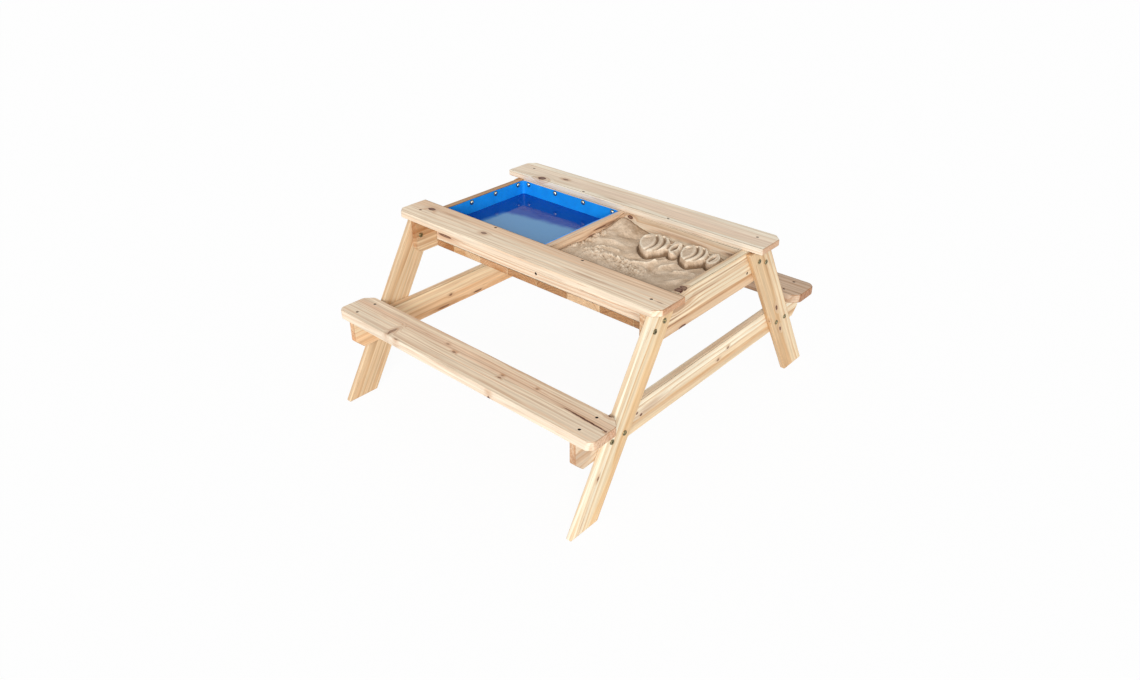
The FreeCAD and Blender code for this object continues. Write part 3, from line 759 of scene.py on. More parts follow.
def damp_sand():
    """Washed play sand, damp enough to hold a shape: warm beige, speckled, quite rough."""
    material, add = new_material("Washed_Damp_Play_Sand")
    sand = settings().sand
    # real grains are about 0.4 mm; drawn several times as coarse so that the speckle shows
    grain, patch, clump = speckled(add, 2.4), speckled(add, 34.0, 4.0), speckled(add, 7.0)
    patchy = add("MapRange", patch, 0.35, 0.68, **EASED)
    colour = add("Mix", patchy, sand.brown, sand.beige, **MIXED)
    # hollows, steep walls, the feet of the boards and the far corner are painted dark, partly as wet
    # sand and partly as painted shade; crests are painted pale, partly as dried-out sand and partly
    # as painted highlight
    relief = add("Attribute", attribute_name="relief").outputs["Fac"]
    damp_and_shade = add("MapRange", relief, 0.5, 0.0, 0.0, 0.85, **EASED)
    colour = add("Mix", damp_and_shade, colour, sand.damp_and_shade, **MIXED)
    dry_and_lit = add("MapRange", relief, 0.5, 1.0, 0.0, 0.85, **EASED)
    colour = add("Mix", dry_and_lit, colour, sand.dry_and_lit, **MIXED)
    shade = add("MapRange", grain, 0.25, 0.75, 0.8, 1.16)
    colour = add("VectorMath", colour, shade, operation="SCALE")
    height = add("Math", clump, 2.0, grain, operation="MULTIPLY_ADD")
    bump = add("Bump", {"Height": height, "Strength": 1.0, "Distance": 0.8 * MM})
    shader = add("BsdfPrincipled", {
        "Base Color": colour, "Roughness": add("MapRange", clump, 0.3, 0.7, 0.8, 0.96, **EASED),
        "Normal": bump, "Specular IOR Level": 0.25})
    add("OutputMaterial", {"Surface": shader})
    return material


# ---- Fasteners' patterns ---------------------------------------------------------------


def pattern_of(piece):
    """The mesh of an object, which is removed."""
    data = piece.data
    bpy.data.objects.remove(piece)
    return data


def screw_pattern(length):
    """Countersunk wood screw with a cross recess, length in mm, z = 0 at its head's outer end."""
    screw = to_object("screw", turned([
        (0, 0), (3.7, 0), (3.95, -0.12), (4.0, -0.3), (3.9, -0.5), (2.3, -2.2), (2.1, -2.5),
        (2.1, 5.0 - length), (1.5, 3.2 - length), (0, 0.6 - length)], settings().hardware.sides))
    for turn in (0, 90):
        blade = bmesh.new()
        for corner in bmesh.ops.create_cube(blade, size=1.0)["verts"]:
            narrow = 1.0 if corner.co.z > 0 else 0.35
            corner.co = Vector((corner.co.x * 4.2 * narrow, corner.co.y * 0.9 * narrow,
                                corner.co.z * 2.2 - 0.5)) * MM
        blade.transform(Matrix.Rotation(math.radians(turn), 4, "Z"))
        cut_away(screw, to_object("blade", blade))
    return pattern_of(screw)


# Rounded head of the leg bolts and the sleeve nuts, as (radius, height) in mm
FLAT_HEAD = ((0, 0), (5.1, 0), (5.85, -0.12), (6.33, -0.45), (6.57, -0.95), (6.6, -1.6),
             (6.45, -2.45))


def socket_pattern(shank):
    """Flat head on a turned shank, with a hexagon socket in its outer end, at z = 0."""
    head = to_object("head", turned(FLAT_HEAD + shank, settings().hardware.sides))
    socket = bmesh.new()
    bmesh.ops.create_cone(socket, cap_ends=True, segments=6, radius1=2.9 * MM,
                          radius2=2.9 * MM, depth=3.6 * MM)
    return pattern_of(cut_away(head, to_object("socket", socket)))


def bolt_pattern():
    """Flat-headed furniture bolt."""
    return socket_pattern(((3.4, -2.5), (3.0, -3.0), (3.0, -32.4), (2.5, -33.0), (0, -33.0)))


def sleeve_pattern():
    """Flanged sleeve nut, which takes the end of a bolt."""
    return socket_pattern(((4.3, -2.5), (4.3, -16.1), (3.9, -16.5), (3.15, -16.5), (3.15, -2.6),
                           (0, -2.6)))


def stud_pattern():
    """Domed stud, z = 0 at the top of its dome."""
    dome = [(5.3 * math.sin(a), 2.8 * (math.cos(a) - 1))
            for a in (math.pi / 2 * k / 8 for k in range(9))]
    mesh = turned([(0, 0)] + dome[1:] + [(5.1, -2.95), (1.5, -2.8), (1.5, -14.6), (0, -16.1)],
                  settings().hardware.sides)
    return pattern_of(to_object("stud", mesh))


def washer_pattern():
    """Rubber washer under a stud, z = 0 at the top of the stud's dome."""
    profile = ((1.6, -2.85), (6.7, -2.85), (7.2, -3.0), (7.4, -3.4), (7.25, -3.95), (6.8, -4.2),
               (1.6, -4.2))
    sides = settings().hardware.sides
    turns = [2 * math.pi * k / sides for k in range(sides)]
    rings = [[Vector((radius * math.cos(a), radius * math.sin(a), height)) * MM for a in turns]
             for radius, height in profile]
    return pattern_of(to_object("washer", loft(rings + rings[:1], capped=False)))


# ---- Liner, water and sand --------------------------------------------------------------


def bay_corners(low, high, corner):
    """Corners of a bay's plan with their rounding."""
    return [(Vector(place), corner) for place in
            ((low.x, low.y), (high.x, low.y), (high.x, high.y), (low.x, high.y))]


def cove(start, foot, radius, upward=True):
    """(Inset, height) of points round the bend between a floor and a wall."""
    turns = [math.pi / 2 * k / 5 for k in range(6)]
    return [(start + radius * (1 - math.sin(a)), foot + radius * (1 - math.cos(a)))
            for a in (turns if upward else turns[::-1])]


def liner_mesh(low, high):
    """Open vinyl tub: rounded corners, a soft floor seam, a cut rim, and slack between studs."""
    liner = settings().liner
    sheet, bend = liner.sheet, liner.floor_corner
    pin_reach, sway_length = 26 * MM, 55 * MM      # how far a stud holds, and length of a sway
    sway_depth, sag_depth, sag_band = 0.4 * MM, 0.8 * MM, 6 * MM
    outline = rounded_outline(bay_corners(low, high, liner.corner), 6 * MM)
    studs = [place for place, way in head_sites("liner_studs")]

    def pinned(place):
        """1 beside a stud, falling to 0 between studs."""
        near = min(math.hypot(place.x - s.x, place.y - s.y) for s in studs)
        return math.exp(-(near / pin_reach) ** 2)

    def ring(inset, height, slack=0.0, hem=0.0):
        """Points round the tub, set in from its outside."""
        points = []
        for place, outward in outline:
            loose = (1 - pinned(place)) * slack
            sway = noise.noise(Vector((place.x, place.y, height)) / sway_length) * slack
            turned_over = hem * max(outward.x, 0.0) ** 6
            spot = place - outward * (inset + loose * liner.slack + sway * sway_depth
                                      + turned_over)
            sag = 0.0 if height < high.z - sag_band else (1 - pinned(place)) * sag_depth
            points.append(Vector((spot.x, spot.y, height - sag)))
        return points

    rings = [ring(inset, height) for inset, height in cove(0.0, low.z, bend)]
    rings += [ring(0.0, low.z + (high.z - low.z) * k / 8) for k in range(2, 8)]
    # the cut rim, as (inset, drop in mm); beside the divider the edge is turned over into a hem
    rings += [ring(0.0, high.z - 0.4 * MM), ring(0.35 * MM, high.z)]
    rings += [ring(inset, high.z - drop * MM, hem=liner.hem - sheet) for inset, drop in
              ((sheet - 0.35 * MM, 0.0), (sheet, 0.9), (sheet, 5.2))]
    rings += [ring(sheet, high.z - 6.2 * MM)]
    rings += [ring(sheet, low.z + (high.z - low.z) * k / 14, math.sin(math.pi * k / 14))
              for k in range(13, 1, -1)]
    rings += [ring(inset, height) for inset, height in
              cove(sheet, low.z + sheet, bend - sheet, upward=False)]
    return loft(rings)


def water_mesh(low, high):
    """Block of still water with a faintly rippled surface."""
    ripple, liner = settings().water.ripple, settings().liner
    outline = rounded_outline(bay_corners(low, high, liner.corner - liner.sheet), 8 * MM)
    middle = ((low + high) / 2).xy
    foot = liner.floor_corner
    ripple_length = 38 * MM
    rings = [[Vector((*(place - outward * inset), height)) for place, outward in outline]
             for inset, height in ((foot, low.z), (foot * 0.3, low.z + foot * 0.3),
                                   (0.0, low.z + foot), (0.0, high.z))]
    for k in range(1, WATER_RINGS):
        ring = []
        for place, outward in outline:
            spot = middle + (place - middle) * (1 - k / WATER_RINGS)
            wave = noise.noise(Vector((spot.x, spot.y, 3.0)) / ripple_length) - 1.4
            ring.append(Vector((spot.x, spot.y, high.z + wave * ripple * 0.5)))
        rings.append(ring)
    return loft(rings)


# Mounds and hollows of the sand: place as shares of the bay, height and spread in mm
MOUNDS = (
    (0.018, 0.950, 22.4, 40.0), (0.028, 0.680, 13.1, 70.0), (0.028, 0.260, 14.2, 70.0),
    (0.212, 0.320, 12.8, 45.0), (0.338, 0.950, -7.3, 55.0), (0.501, 0.410, -1.7, 60.0),
    (0.659, 0.959, -11.3, 55.0), (0.817, 0.680, -5.3, 60.0), (0.764, 0.170, 7.1, 70.0),
    (0.975, 0.440, 7.5, 60.0), (0.960, 0.980, -9.0, 55.0),
)
# Fish castings: middle in mm, turn in degrees, height of the sand at the foot, and scale
CASTINGS = ((170.0, 86.0, 18.0, 438.0, 1.0), (288.0, 100.0, 12.0, 438.0, 0.9))
# Outline of a casting, nose at the left, in mm
FISH = ((-38, 2), (-39, 18), (-37, 33), (-31, 46), (-18, 52), (0, 55), (18, 51), (32, 39),
        (40, 24), (46, 15), (50, 27), (57, 36), (68, 33), (78, 20), (83, 4), (83, -14),
        (77, -32), (66, -42), (56, -38), (50, -27), (45, -24), (35, -36), (22, -47), (13, -56),
        (5, -62), (-5, -57), (-18, -45), (-28, -30), (-35, -13))
# Curved ribs across a casting, bulging towards its tail: middle of the curve and radius, in mm
RIBS = ((-85, -5, 85), (-66, -4, 86), (-46, -3, 85))
# Crests and furrows left by hands: points in mm, then height and width
CRESTS = (
    (((150, -35), (190, -15), (214, -2), (226, 20)), 6.0, 6.5),
    (((226, 20), (238, 52)), 3.0, 6.0), (((255, 3), (268, 30), (274, 50)), 5.5, 7.0),
    (((300, 8), (325, 22), (348, 18)), 6.0, 9.0), (((69, -27), (94, 1), (118, 6)), 5.0, 8.0),
    (((40, 20), (76, 42), (106, 40)), 4.0, 12.0), (((232, -10), (264, -20)), -6.0, 13.0),
    (((150, 4), (190, 26)), -4.5, 9.0), (((95, -60), (130, -34), (178, -40)), 3.5, 9.0),
    (((60, 90), (92, 120)), -5.0, 16.0), (((330, -60), (352, -20)), 5.0, 13.0),
)
# Crumbled stretches where the sand was dug, along the front, between the castings and beside
# the divider: points in mm, then share and width
DUG = (
    (((78, -48), (150, -38), (222, -55)), 1.0, 30.0), (((236, 62), (244, 96)), 0.8, 12.0),
    (((20, -60), (24, 60)), 0.7, 14.0),
)


def smooth_step(value, low, high):
    """0 at low, 1 at high, and eased at both ends."""
    t = np.clip((value - low) / (high - low), 0, 1)
    return t * t * (3 - 2 * t)


def smooth_outline(points, pieces=6):
    """Closed curve through points, as many short straight pieces."""
    ring = np.array(points, float)
    before, after, later = np.roll(ring, 1, 0), np.roll(ring, -1, 0), np.roll(ring, -2, 0)
    found = []
    for k in range(pieces):
        t = k / pieces
        found.append(0.5 * (2 * ring + (after - before) * t
                            + (2 * before - 5 * ring + 4 * after - later) * t ** 2
                            + (3 * ring - before - 3 * after + later) * t ** 3))
    return np.stack(found, 1).reshape(-1, 2)


def line_distance(x, y, points):
    """Distance to the nearest point of an open line."""
    nearest = np.full(x.shape, 1e9)
    for (ax, ay), (bx, by) in zip(points, points[1:]):
        dx, dy = bx - ax, by - ay
        t = np.clip(((x - ax) * dx + (y - ay) * dy) / (dx * dx + dy * dy), 0, 1)
        nearest = np.minimum(nearest, np.hypot(x - ax - t * dx, y - ay - t * dy))
    return nearest


def edge_distance(x, y, outline):
    """Distance to a closed outline, above zero inside it."""
    closed = [*outline, outline[0]]
    inside = np.zeros(x.shape, bool)
    for (ax, ay), (bx, by) in zip(closed, closed[1:]):
        dx, dy = bx - ax, by - ay
        inside ^= ((ay > y) != (by > y)) & (x < ax + (y - ay) * dx / (dy if dy else 1e-9))
    nearest = line_distance(x, y, closed)
    return np.where(inside, nearest, -nearest)


def rough(x, y, size, seed, octaves):
    """Noise from -1 to 1 over a grid, in mm."""
    found = np.empty(x.shape)
    for index in np.ndindex(x.shape):
        spot = Vector((x[index] / size, y[index] / size, seed))
        found[index] = noise.fractal(spot, 1.0, 2.0, octaves)
    return found


def bell(distance, width, power=2):
    """1 at no distance, falling away past the width, with a flatter top for a higher power."""
    return np.exp(-(distance / width) ** power)


def casting_relief(u, v, edge, depth):
    """Height of a fish above its foot: domed body, eye, ribs with furrows, and a slotted tail."""
    body = depth * (0.94 + 0.06 * smooth_step(edge, 0, 12)) - 2.5 * smooth_step(u, 36, 50)
    ribbed = smooth_step(edge, 1.0, 5.0) * smooth_step(-u, -52, -42)
    for middle_u, middle_v, radius in RIBS:
        off = np.hypot(u - middle_u, v - middle_v) - radius
        body += ribbed * (1.5 * bell(off, 4.2, 4) - 5.5 * bell(off - 9.4, 3.6, 4))
    eye = np.hypot(u + 24, v - 24)
    body += 0.8 * bell(eye - 14.0, 3.0) - 7.0 * bell(eye, 8.0, 3)
    mouth = np.hypot((u + 37) / 2.4, v + 2)
    body -= 3.5 * bell(mouth, 3.2)
    slot = np.hypot(u - 62 - v * 0.12, (v + 4) / 4.2)
    return body - 15.0 * bell(slot, 4.6, 4)


def smoothed(height, passes):
    """The surface with its relief averaged away."""
    for _ in range(passes):
        for axis in (0, 1):
            edge = np.concatenate([height.take([0], axis), height, height.take([-1], axis)], axis)
            count = height.shape[axis]
            ahead = edge.take(range(2, count + 2), axis)
            height = (edge.take(range(count), axis) + height + ahead) / 3
    return height


def sand_surface(low, high):
    """Places and heights in mm of the sand over a grid of points."""
    sand = settings().sand
    counts = [math.ceil((high[i] - low[i]) / sand.grid) + 1 for i in range(2)]
    x, y = np.meshgrid(np.linspace(low.x / MM, high.x / MM, counts[0]),
                       np.linspace(low.y / MM, high.y / MM, counts[1]), indexing="ij")
    height = np.full(x.shape, sand.level / MM)
    across, along = (high.x - low.x) / MM, (high.y - low.y) / MM
    for share_x, share_y, rise, spread in MOUNDS:
        reach = (x - low.x / MM - share_x * across) ** 2 + (y - low.y / MM - share_y * along) ** 2
        height += rise * np.exp(-reach / spread ** 2)
    swell, lumps, crumbs = (rough(x, y, size, seed, octaves) for size, seed, octaves in
                            ((46.0, 1.0, 3), (15.0, 2.0, 2), (6.5, 3.0, 2)))
    for points, rise, width in CRESTS:
        off = line_distance(x, y, points) + lumps * 2.5
        height += 1.5 * rise * bell(np.abs(off), width, 1.5)
    dug = sum(share * bell(line_distance(x, y, points), width) for points, share, width in DUG)
    height += swell * 2.4 + lumps * (0.6 + 7.0 * dug) + crumbs * (0.3 + 3.6 * dug)
    outline = smooth_outline(FISH)
    for place_x, place_y, turn, foot, size in CASTINGS:
        c, s = math.cos(math.radians(turn)), math.sin(math.radians(turn))
        u = ((x - place_x) * c + (y - place_y) * s) / size
        v = (-(x - place_x) * s + (y - place_y) * c) / size
        edge = edge_distance(u, v, outline) * size + lumps * 1.2 + crumbs * 0.6
        body = casting_relief(u, v, edge, sand.casting / MM)
        wall = smooth_step(edge, -0.8, 1.8)
        near = smooth_step(-edge, 0, 22)
        ground = foot + (height - foot) * near - 4.5 * bell(edge + 2.5, 3.0)
        height = ground * (1 - wall) + (foot + body + crumbs * 0.45) * wall
    return x, y, np.minimum(height, sand.ceiling / MM)


def sand_relief(x, y, height):
    """How pale each point is painted, from 0 for a dark hollow to 1 for a crest.

    It goes by how far the point stands above or below its near and far neighbourhood, and by
    how steep it is. Steep walls, the sand along the boards and the shaded far corner are held low as
    painted shade; low values in hollows also stand for wet sand, and high ones on crests for painted
    highlight on dried-out sand.
    """
    sand = settings().sand
    relief = sand.relief / MM
    steep = smooth_step(np.hypot(*np.gradient(height, sand.grid / MM)), 1.3, 3.2)
    board = np.minimum.reduce([x - x.min(), x.max() - x, y - y.min(), y.max() - y])
    corner = np.hypot(x - x.min() - 40, y.max() - y - 10)
    near_rise = np.minimum((height - smoothed(height, 9)) / (relief * 0.8), 0.3)
    return (0.52 + near_rise * (1 - 0.75 * steep) - 0.2 * steep
            + (height - smoothed(height, sand.smoothing)) / (relief * 4.5)
            - 0.4 * bell(board, 4.0) - 0.3 * bell(corner, 55.0))


def sand_mesh(low, high):
    """Sand filling its bay, from the tray's floor to the shaped surface."""
    x, y, height = sand_surface(low, high)
    relief = sand_relief(x, y, height)
    mesh = bmesh.new()
    layer = mesh.verts.layers.float.new("relief")
    grid = [[mesh.verts.new((x[i, j] * MM, y[i, j] * MM, height[i, j] * MM))
             for j in range(x.shape[1])] for i in range(x.shape[0])]
    for i, j in np.ndindex(x.shape):
        grid[i][j][layer] = relief[i, j]
    for near, far in zip(grid, grid[1:]):
        for j in range(len(near) - 1):
            mesh.faces.new((near[j], far[j], far[j + 1], near[j + 1]))
    rim = ([row[0] for row in grid] + grid[-1][1:] + [row[-1] for row in grid[::-1]][1:]
           + grid[0][::-1][1:-1])
    foot = [mesh.verts.new((corner.co.x, corner.co.y, low.z)) for corner in rim]
    for i in range(len(rim)):
        mesh.faces.new((rim[i - 1], foot[i - 1], foot[i], rim[i]))
    mesh.faces.new(foot)
    bmesh.ops.recalc_face_normals(mesh, faces=mesh.faces)
    return mesh


# ---- The boards --------------------------------------------------------------------------

# Sapwood, heartwood and latewood of each board, as planed and untreated; two legs' tones also hold
# painted shade
TONES = {
    "top_front": ("#F7E4C9", "#ECCEAF", "#CE9663"), "top_back": ("#F7EBD5", "#ECD3BA", "#CC9B6A"),
    "seat_front": ("#F6E4CA", "#EFD4B8", "#C59061"), "seat_back": ("#CFB49A", "#BC987A", "#966941"),
    "side_front": ("#EDDBC3", "#E3C0A1", "#C78B5E"), "side_back": ("#EBDEC7", "#D9BFA0", "#B78A5B"),
    "divider": ("#F7EEDA", "#EFD2B2", "#BA8A62"),
    "end_left": ("#DFC5A0", "#C39A70", "#A46B38"), "end_right": ("#F0DEBE", "#E1C09B", "#C3905D"),
    "bearer_left": ("#F5DDB8", "#F3CDA2", "#CF9156"),
    "bearer_right": ("#F7ECD2", "#E9CFAA", "#CD9A65"),
    # partly painted shade: this leg's and the back right leg's darker tones stand in for the weaker
    # light that reaches them, besides their own wood
    "leg_front_left": ("#E2C7A2", "#D7B186", "#BA844C"),
    "leg_front_right": ("#F6EBD0", "#EFD4AA", "#D39C5A"),
    "leg_back_left": ("#F7EAC9", "#F0D0A7", "#DAA268"),
    "leg_back_right": ("#E9D5B4", "#DDBE95", "#CA965C"),
    "floor": ("#D4B78E", "#BE9461", "#925F2F"), "floor_pale": ("#E6CDA8", "#D6B080", "#B07742"),
    "floor_dark": ("#C7AA80", "#AF8452", "#855223"),
}
FLOOR_TONES = ("floor", "floor_pale", "floor_pale", "floor", "floor_dark", "floor_pale",
               "floor_dark", "floor_dark")
CLEAN_FLOOR_BOARDS = (2, 6)     # numbers of the floor boards whose end grain stayed clean

# What was sawn off the boards' corners, in mm
TOP_CUT, END_CUT, BEARER_CUT, SEAT_OUTER_CUT, SEAT_INNER_CUT = 20, 14, 26, 14, 23


def planks():
    """The top planks, front and back."""
    return [
        Board("top_plank_front", "plank", "top_plank_wood",
              [sawn(112, -60, 11.0, 0.55, 128, "top_front")],
              cuts=(TOP_CUT, TOP_CUT, 0, 0), foul_ends=0.85,
              knots=((-377, -203, 492, 12, 7, 1.0), (-149, -221, 492, 9, 5, 0.8),
                     (-300, -196, 492, 22, 2.5, 0.12), (210, -238, 492, 30, 2.5, 0.12),
                     (424, -227.5, 492, 8, 1.2, 0.6), (450.5, -219, 502, 1.1, 34, 0.8))),
        Board("top_plank_back", "plank", "top_plank_wood",
              [sawn(-6, -66, 12.0, 0.5, 76, "top_back")],
              cuts=(0, 0, TOP_CUT, TOP_CUT), foul_ends=0.7,
              knots=((-319, 178, 492, 13, 9, 1.0), (-257, 216, 492, 10, 4.5, 0.8),
                     (-40, 185, 492, 26, 2.5, 0.15), (450.5, 219, 502, 0.9, 34, 0.5))),
    ]


def seats():
    """The bench seats, each glued up from two staves, the front one with a split and a chip."""
    return [
        Board("seat_plank_front", "plank", "seat_wood",
              [sawn(128, -62, 9.8, 0.66, 78, "seat_front"),
               sawn(-116, -48, 9.6, 0.68, 158, "seat_front")],
              cuts=(SEAT_OUTER_CUT, SEAT_OUTER_CUT, SEAT_INNER_CUT, SEAT_INNER_CUT),
              foul_ends=0.68, joint=-434.0,
              knots=((122, -441, 270, 5, 2.6, 0.7), (121, -430, 270, 4, 2, 0.5),
                     (-87, -419, 270, 5, 2.4, 0.45), (-46, -435, 270, 5, 3, 0.7),
                     (223, -417, 270, 4, 2.4, 0.5), (122, -380, 269, 16, 5, 0.35),
                     (419, -384, 270, 7, 6, 1.0), (139, -494, 236, 6, 1.6, 1.0),
                     (-245, -470, 270, 5, 14, 0.6), (-205, -491, 269, 6, 1.6, 0.6),
                     # the five long thin marks from x 340 to 438 follow the split: painted shade
                     # inside it
                     (447, -437.5, 270, 3.5, 2.6, 0.85), (340, -431.0, 270, 20, 1.5, 0.9),
                     (366, -432.6, 270, 20, 2.2, 1.0), (392, -434.2, 270, 20, 2.4, 1.0),
                     (418, -435.6, 270, 18, 2.0, 1.0), (438, -436.8, 270, 12, 1.4, 0.9)),
              splits=((322, -430, 0.3, 445, -437, 1.3, 7.0),
                      (-248, -428, 0.4, -243, -490, 9, 2.2))),
        Board("seat_plank_back", "plank", "seat_wood",
              [sawn(118, -46, 12.5, 0.8, 80, "seat_back"),
               sawn(-112, -60, 12.0, 0.8, 120, "seat_back")],
              cuts=(SEAT_INNER_CUT, SEAT_INNER_CUT, SEAT_OUTER_CUT, SEAT_OUTER_CUT),
              foul_ends=0.9, joint=440.0,
              knots=((-120, 452, 270, 9, 4, 0.8), (260, 420, 270, 7, 3, 0.7))),
    ]


def tray_sides():
    """The tray's long sides and the divider between its bays."""
    return [
        Board("tray_side_front", "side", "tray_wood",
              [sawn(-70, 46, 11.0, 0.75, 88, "side_front")],
              knots=((-352, -185, 412, 26, 3.5, 0.9), (-374, -185, 432, 7, 4, 0.6))),
        Board("tray_side_back", "side", "tray_wood",
              [sawn(-60, 50, 12.0, 0.7, 62, "side_back")],
              # the long faint streaks here and on the divider's sand side darken the wood a little
              # above the sand
              knots=((30, 167, 464, 9, 5, 1.0), (196, 167, 452, 60, 3, 0.22),
                     (370, 167, 450, 24, 3, 0.5))),
        Board("tray_divider", "rail", "tray_wood", [sawn(50, 30, 6.5, 0.6, 60, "divider")],
              knots=((9, 62, 461, 26, 2.2, 0.95), (9, 26, 450, 16, 2.0, 0.9),
                     (9, 96, 460, 30, 5, 0.5), (9, -28, 444, 18, 1.6, 0.8))),
    ]


def tray_ends():
    """The tray's ends, which are the cross rails under the top planks."""
    return [
        Board("tray_end_left", "rail", "tray_wood", [sawn(62, -30, 11.0, 0.8, 78, "end_left")],
              cuts=(END_CUT, END_CUT, 0, 0)),
        Board("tray_end_right", "rail", "tray_wood",
              [sawn(-72, -42, 12.5, 0.95, 74, "end_right")],
              cuts=(END_CUT, END_CUT, 0, 0), foul_ends=0.6,
              knots=((398, -121, 474, 9, 6, 1.0), (404, -104, 474, 8, 5, 0.9),
                     (408, -108, 374, 14, 4, 1.0), (408, -128, 432, 26, 7, 0.25),
                     (408, -180, 412, 60, 1.5, 0.5), (408, -130, 398, 46, 1.3, 0.5),
                     (408, -40, 440, 70, 1.3, 0.35), (408, 60, 456, 80, 1.2, 0.3),
                     (408, 20, 396, 60, 1.2, 0.3))),
    ]


def bearers():
    """The cross rails that carry the seats."""
    return [
        Board("seat_bearer_left", "rail", "bearer_wood",
              [sawn(-60, -48, 12.0, 0.6, 84, "bearer_left")],
              cuts=(BEARER_CUT, BEARER_CUT, 0, 0), foul_ends=0.7,
              knots=((-390, -151, 200, 6, 3, 0.8), (-390, -44, 172, 16, 2.6, 0.9),
                     (-390, -180, 171, 22, 2.4, 0.7))),
        Board("seat_bearer_right", "rail", "bearer_wood",
              [sawn(-58, -48, 13.0, 0.9, 82, "bearer_right")],
              cuts=(BEARER_CUT, BEARER_CUT, 0, 0), foul_ends=0.7,
              knots=((408, -275, 212, 4, 3, 0.9), (408, -259, 200, 5, 3, 1.0),
                     (408, 114, 214, 5, 3, 0.8), (408, 69, 197, 6, 3, 0.8),
                     # the last mark, faint and wide, is painted shade on the outer face under the
                     # seat; it also bends the rings there
                     (408, -225, 206, 34, 5, 0.12), (408, -478, 196, 40, 20, 0.14))),
    ]


def legs():
    """The four splayed legs."""
    return [
        Board("leg_front_left", "leg", "leg_wood",
              [sawn(46, -40, 9.5, 0.6, 30, "leg_front_left")]),
        Board("leg_front_right", "leg", "leg_wood",
              [sawn(-30, -60, 10.5, 0.75, 76, "leg_front_right")],
              knots=((423, -433, 124, 5.5, 2.4, 0.8),)),
        Board("leg_back_left", "leg", "leg_wood",
              [sawn(60, -60, 10.0, 0.8, 84, "leg_back_left")]),
        Board("leg_back_right", "leg", "leg_wood",
              [sawn(22, -62, 11.0, 0.8, 76, "leg_back_right")],
              knots=((423, 332, 250, 9, 4, 1.0), (423, 370, 167, 8, 3.5, 1.0),
                     (423, 302, 214, 6, 4, 0.7))),
    ]


def floor_boards():
    """The tray's floor boards, sawn from the two sides of the trunk in turn."""
    return [Board(f"floor_board_{number}", "floor", "floor_wood",
                  [sawn(22 * (-1) ** number, -30 - 6 * number, 5.0, 0.7, 50, tone)],
                  foul_ends=0.35 if number in CLEAN_FLOOR_BOARDS else 0.8)
            for number, tone in enumerate(FLOOR_TONES, 1)]


def drill_sites():
    """Every fastener's site with the (radius, height) steps of its hole, in mm, from the head."""
    mouth = settings().hardware.screw_sink / MM + 1

    def screw_hole(length):
        """Counterbore, countersink and thread hole of a wood screw."""
        return ((0, mouth), (4.15, mouth), (4.15, 0), (2.25, -2.4), (2.25, 0.1 - length),
                (0, 0.1 - length))

    bolt_hole = ((0, 1), (3.3, 1), (3.3, -17.5), (4.5, -17.5), (4.5, -37), (0, -37))
    stud_hole = ((0, -3.6), (1.65, -3.6), (1.65, -16.3), (0, -16.3))
    holes = [(node, screw_hole(LONG_SCREW)) for node in LONG_SCREW_NODES]
    holes += [("floor_screws", screw_hole(FLOOR_SCREW)), ("upper_leg_bolts", bolt_hole),
              ("lower_leg_bolts", bolt_hole), ("liner_studs", stud_hole)]
    return [(place, way, hole) for node, hole in holes for place, way in head_sites(node)]


def bored(piece, board, sites):
    """Cuts the holes whose middle line runs through the board."""
    cutter = bmesh.new()
    margin = 2 * MM
    for place, way, hole in sites:
        end = place - way * min(height for radius, height in hole) * MM
        if not all(min(place[i], end[i]) <= board.high[i] + margin
                   and max(place[i], end[i]) >= board.low[i] - margin for i in range(3)):
            continue
        tool = turned(hole, HOLE_SIDES)
        tool.transform(site_matrix(place, way))
        data = bpy.data.meshes.new("tool")
        tool.to_mesh(data)
        tool.free()
        cutter.from_mesh(data)
        bpy.data.meshes.remove(data)
    if cutter.verts:
        cut_away(piece, to_object("tool", cutter))
    return piece


def split_cutters(board):
    """Tapered wedges that open the board's top face: (x, y, width) at both ends, and depth."""
    for x0, y0, w0, x1, y1, w1, depth in board.splits:
        run = Vector((x1 - x0, y1 - y0, 0)).normalized()
        side = Vector((-run.y, run.x, 0))
        top = board.high.z / MM
        ends = []
        for x, y, width, deep in ((x0, y0, w0, depth * 0.25), (x1, y1, w1, depth)):
            middle = Vector((x, y, top))
            ends.append([(middle + offset) * MM for offset in
                         (side * width + Z, -side * width + Z, -side * width * 0.5,
                          -Z * deep, side * width * 0.5)])
        yield loft(ends)


def parted(mesh, board):
    """Splits a board along the glue line between its two staves and marks their faces."""
    line = Y * board.joint * MM
    bmesh.ops.bisect_plane(mesh, geom=mesh.verts[:] + mesh.edges[:] + mesh.faces[:],
                           plane_co=line, plane_no=Y)
    for face in mesh.faces:
        face.material_index = int(face.calc_center_median().y > line.y)


def build_boards(boards):
    """Makes, bores and finishes boards."""
    sites = drill_sites()
    for board in boards:
        mesh = board_mesh(board)
        if board.joint is not None:
            parted(mesh, board)
        titles = ["Planed_Fir_" + board.node.title()]
        if len(board.sawn) > 1:
            titles = [f"{titles[0]}_Stave_{number}" for number in (1, 2)]
        woods = [softwood(title, board, cut) for title, cut in zip(titles, board.sawn)]
        piece = bored(to_object(board.node + "_board", mesh, woods), board, sites)
        for wedge in split_cutters(board):
            cut_away(piece, to_object("wedge", wedge))
        finish_piece(piece, board.slot, board.node)


# ---- Stage -------------------------------------------------------------------------------


